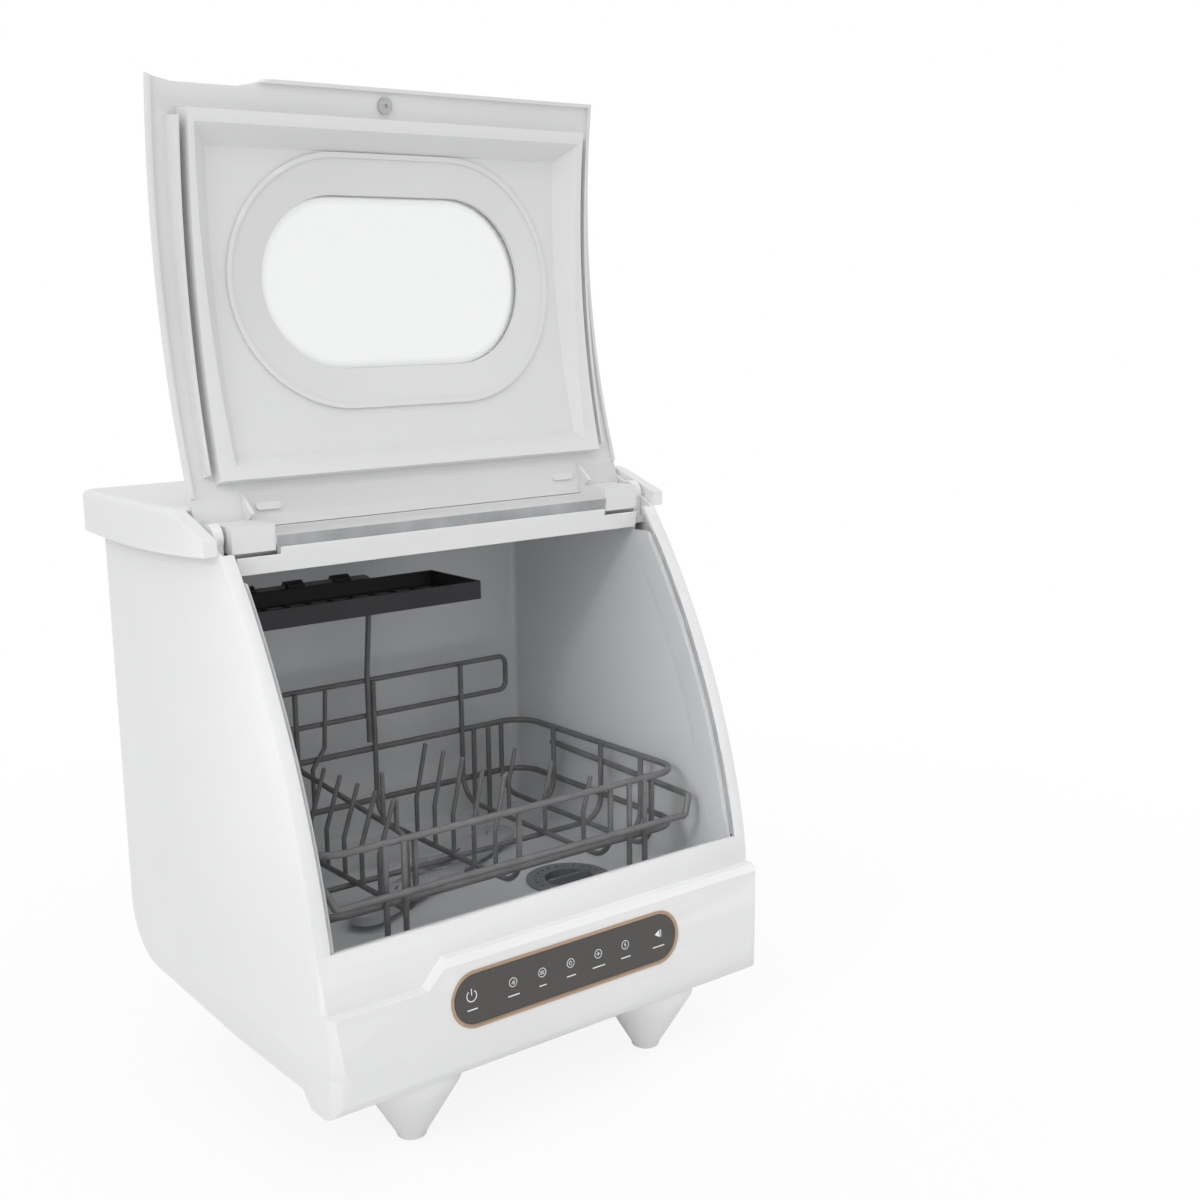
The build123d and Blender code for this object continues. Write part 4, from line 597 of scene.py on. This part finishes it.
def white_to_camera(tree, shader_output, target_socket):
    """The camera and clear plastic see plain white; light and reflections follow the shader."""
    path = tree.nodes.new("ShaderNodeLightPath")
    first = tree.nodes.new("ShaderNodeMath")
    first.operation = "MAXIMUM"
    tree.links.new(path.outputs["Is Camera Ray"], first.inputs[0])
    tree.links.new(path.outputs["Is Transmission Ray"], first.inputs[1])
    white = tree.nodes.new("ShaderNodeBackground")
    white.inputs["Color"].default_value = (1.0, 1.0, 1.0, 1.0)
    white.inputs["Strength"].default_value = 1.0
    mix = tree.nodes.new("ShaderNodeMixShader")
    tree.links.new(first.outputs[0], mix.inputs["Fac"])
    tree.links.new(shader_output, mix.inputs[1])
    tree.links.new(white.outputs["Background"], mix.inputs[2])
    tree.links.new(mix.outputs["Shader"], target_socket)


def world():
    """Even, nearly white light from all round."""
    space = bpy.data.worlds.new("world")
    space.use_nodes = True
    bpy.context.scene.world = space
    tree = space.node_tree
    soft = tree.nodes["Background"]
    soft.inputs["Color"].default_value = (0.99, 0.995, 1.0, 1.0)
    soft.inputs["Strength"].default_value = WORLD_STRENGTH
    white_to_camera(tree, soft.outputs["Background"], tree.nodes["World Output"].inputs["Surface"])


def floor():
    """Pale floor that keeps the soft shadow and fades out to the white background."""
    data = bpy.data.meshes.new("floor")
    reach = FLOOR_REACH
    corners = [(-reach, -reach, 0), (reach, -reach, 0), (reach, reach, 0), (-reach, reach, 0)]
    data.from_pydata(corners, [], [(0, 1, 2, 3)])
    plane = bpy.data.objects.new("floor", data)
    plane.location.z = -FLOOR_DROP
    bpy.context.scene.collection.objects.link(plane)
    n = Nodes("floor")
    n.set(Base_Color=(0.93, 0.93, 0.93), Roughness=0.6)
    glow = n.add("ShaderNodeEmission")
    glow.inputs["Color"].default_value = (1.0, 1.0, 1.0, 1.0)
    length = n.add("ShaderNodeVectorMath", operation="LENGTH")
    n.link(n.place, length.inputs[0])
    share = n.range(length.outputs["Value"], FLOOR_GLOW, 1.0, FADE_START, FADE_END)
    path = n.add("ShaderNodeLightPath")
    seen = n.math("MULTIPLY", path.outputs["Is Camera Ray"], share)
    mix = n.add("ShaderNodeMixShader")
    n.link(seen, mix.inputs["Fac"])
    n.link(n.shader.outputs["BSDF"], mix.inputs[1])
    n.link(glow.outputs["Emission"], mix.inputs[2])
    n.link(mix.outputs["Shader"], n.tree.nodes["Material Output"].inputs["Surface"])
    data.materials.append(n.material)


# ---------------------------------------------------------------- scene
def main():
    """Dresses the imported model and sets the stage."""
    materials = {
        "body_white": moulded("body_white", BODY_WHITE, 0.42, 1.0, 0.45),
        "lid_white": moulded("lid_white", LID_WHITE, 0.45, 1.0, 0.4),
        "tub_white": moulded("tub_white", TUB_WHITE, 0.38, 0.6, 0.45),
        "pane_clear": clear_pane(),
        "control_glass": dark_glass(),
        "trim_bronze": anodised("trim_bronze", BRONZE),
        "rack_coat": coated_wire(),
        "shelf_black": moulded("shelf_black", SHELF_BLACK, 0.5, 3.0, 0.4),
        "arm_grey": moulded("arm_grey", ARM_GREY, 0.45),
        "filter_grey": moulded("filter_grey", FILTER_GREY, 0.5, 2.0),
        "rubber_dark": rubber("rubber_dark", RUBBER_DARK),
        "rubber_grey": rubber("rubber_grey", RUBBER_GREY),
        "hose_white": hose(),
        "steel": anodised("steel", STEEL),
        "pump_black": moulded("pump_black", PUMP_BLACK, 0.5, 3.0, 0.4),
        "board_green": circuit_board(),
    }
    dress(materials)
    for name in ("left_side_panel", "right_side_panel", "front_panel", "top_cover", "lid_shell",
                 "header_bar", "base_tray"):
        soften(name, CASE_EDGE)
    for name in ("window_ring", "front_feet", "rear_feet", "shelf_tray", "control_trim"):
        soften(name, SMALL_EDGE)
    control_icons(printed_white())
    for side in (-1, 1):
        mouth_band(side, materials["tub_white"])
    # Grey strip of painted shade in the slot between the header and the hinge barrel.
    slot_shade_strip(materials["rubber_grey"])
    camera()
    world()
    floor()
    for lamp in LAMPS:
        area_light(*lamp)
    bpy.context.scene.view_settings.view_transform = "Standard"


main()
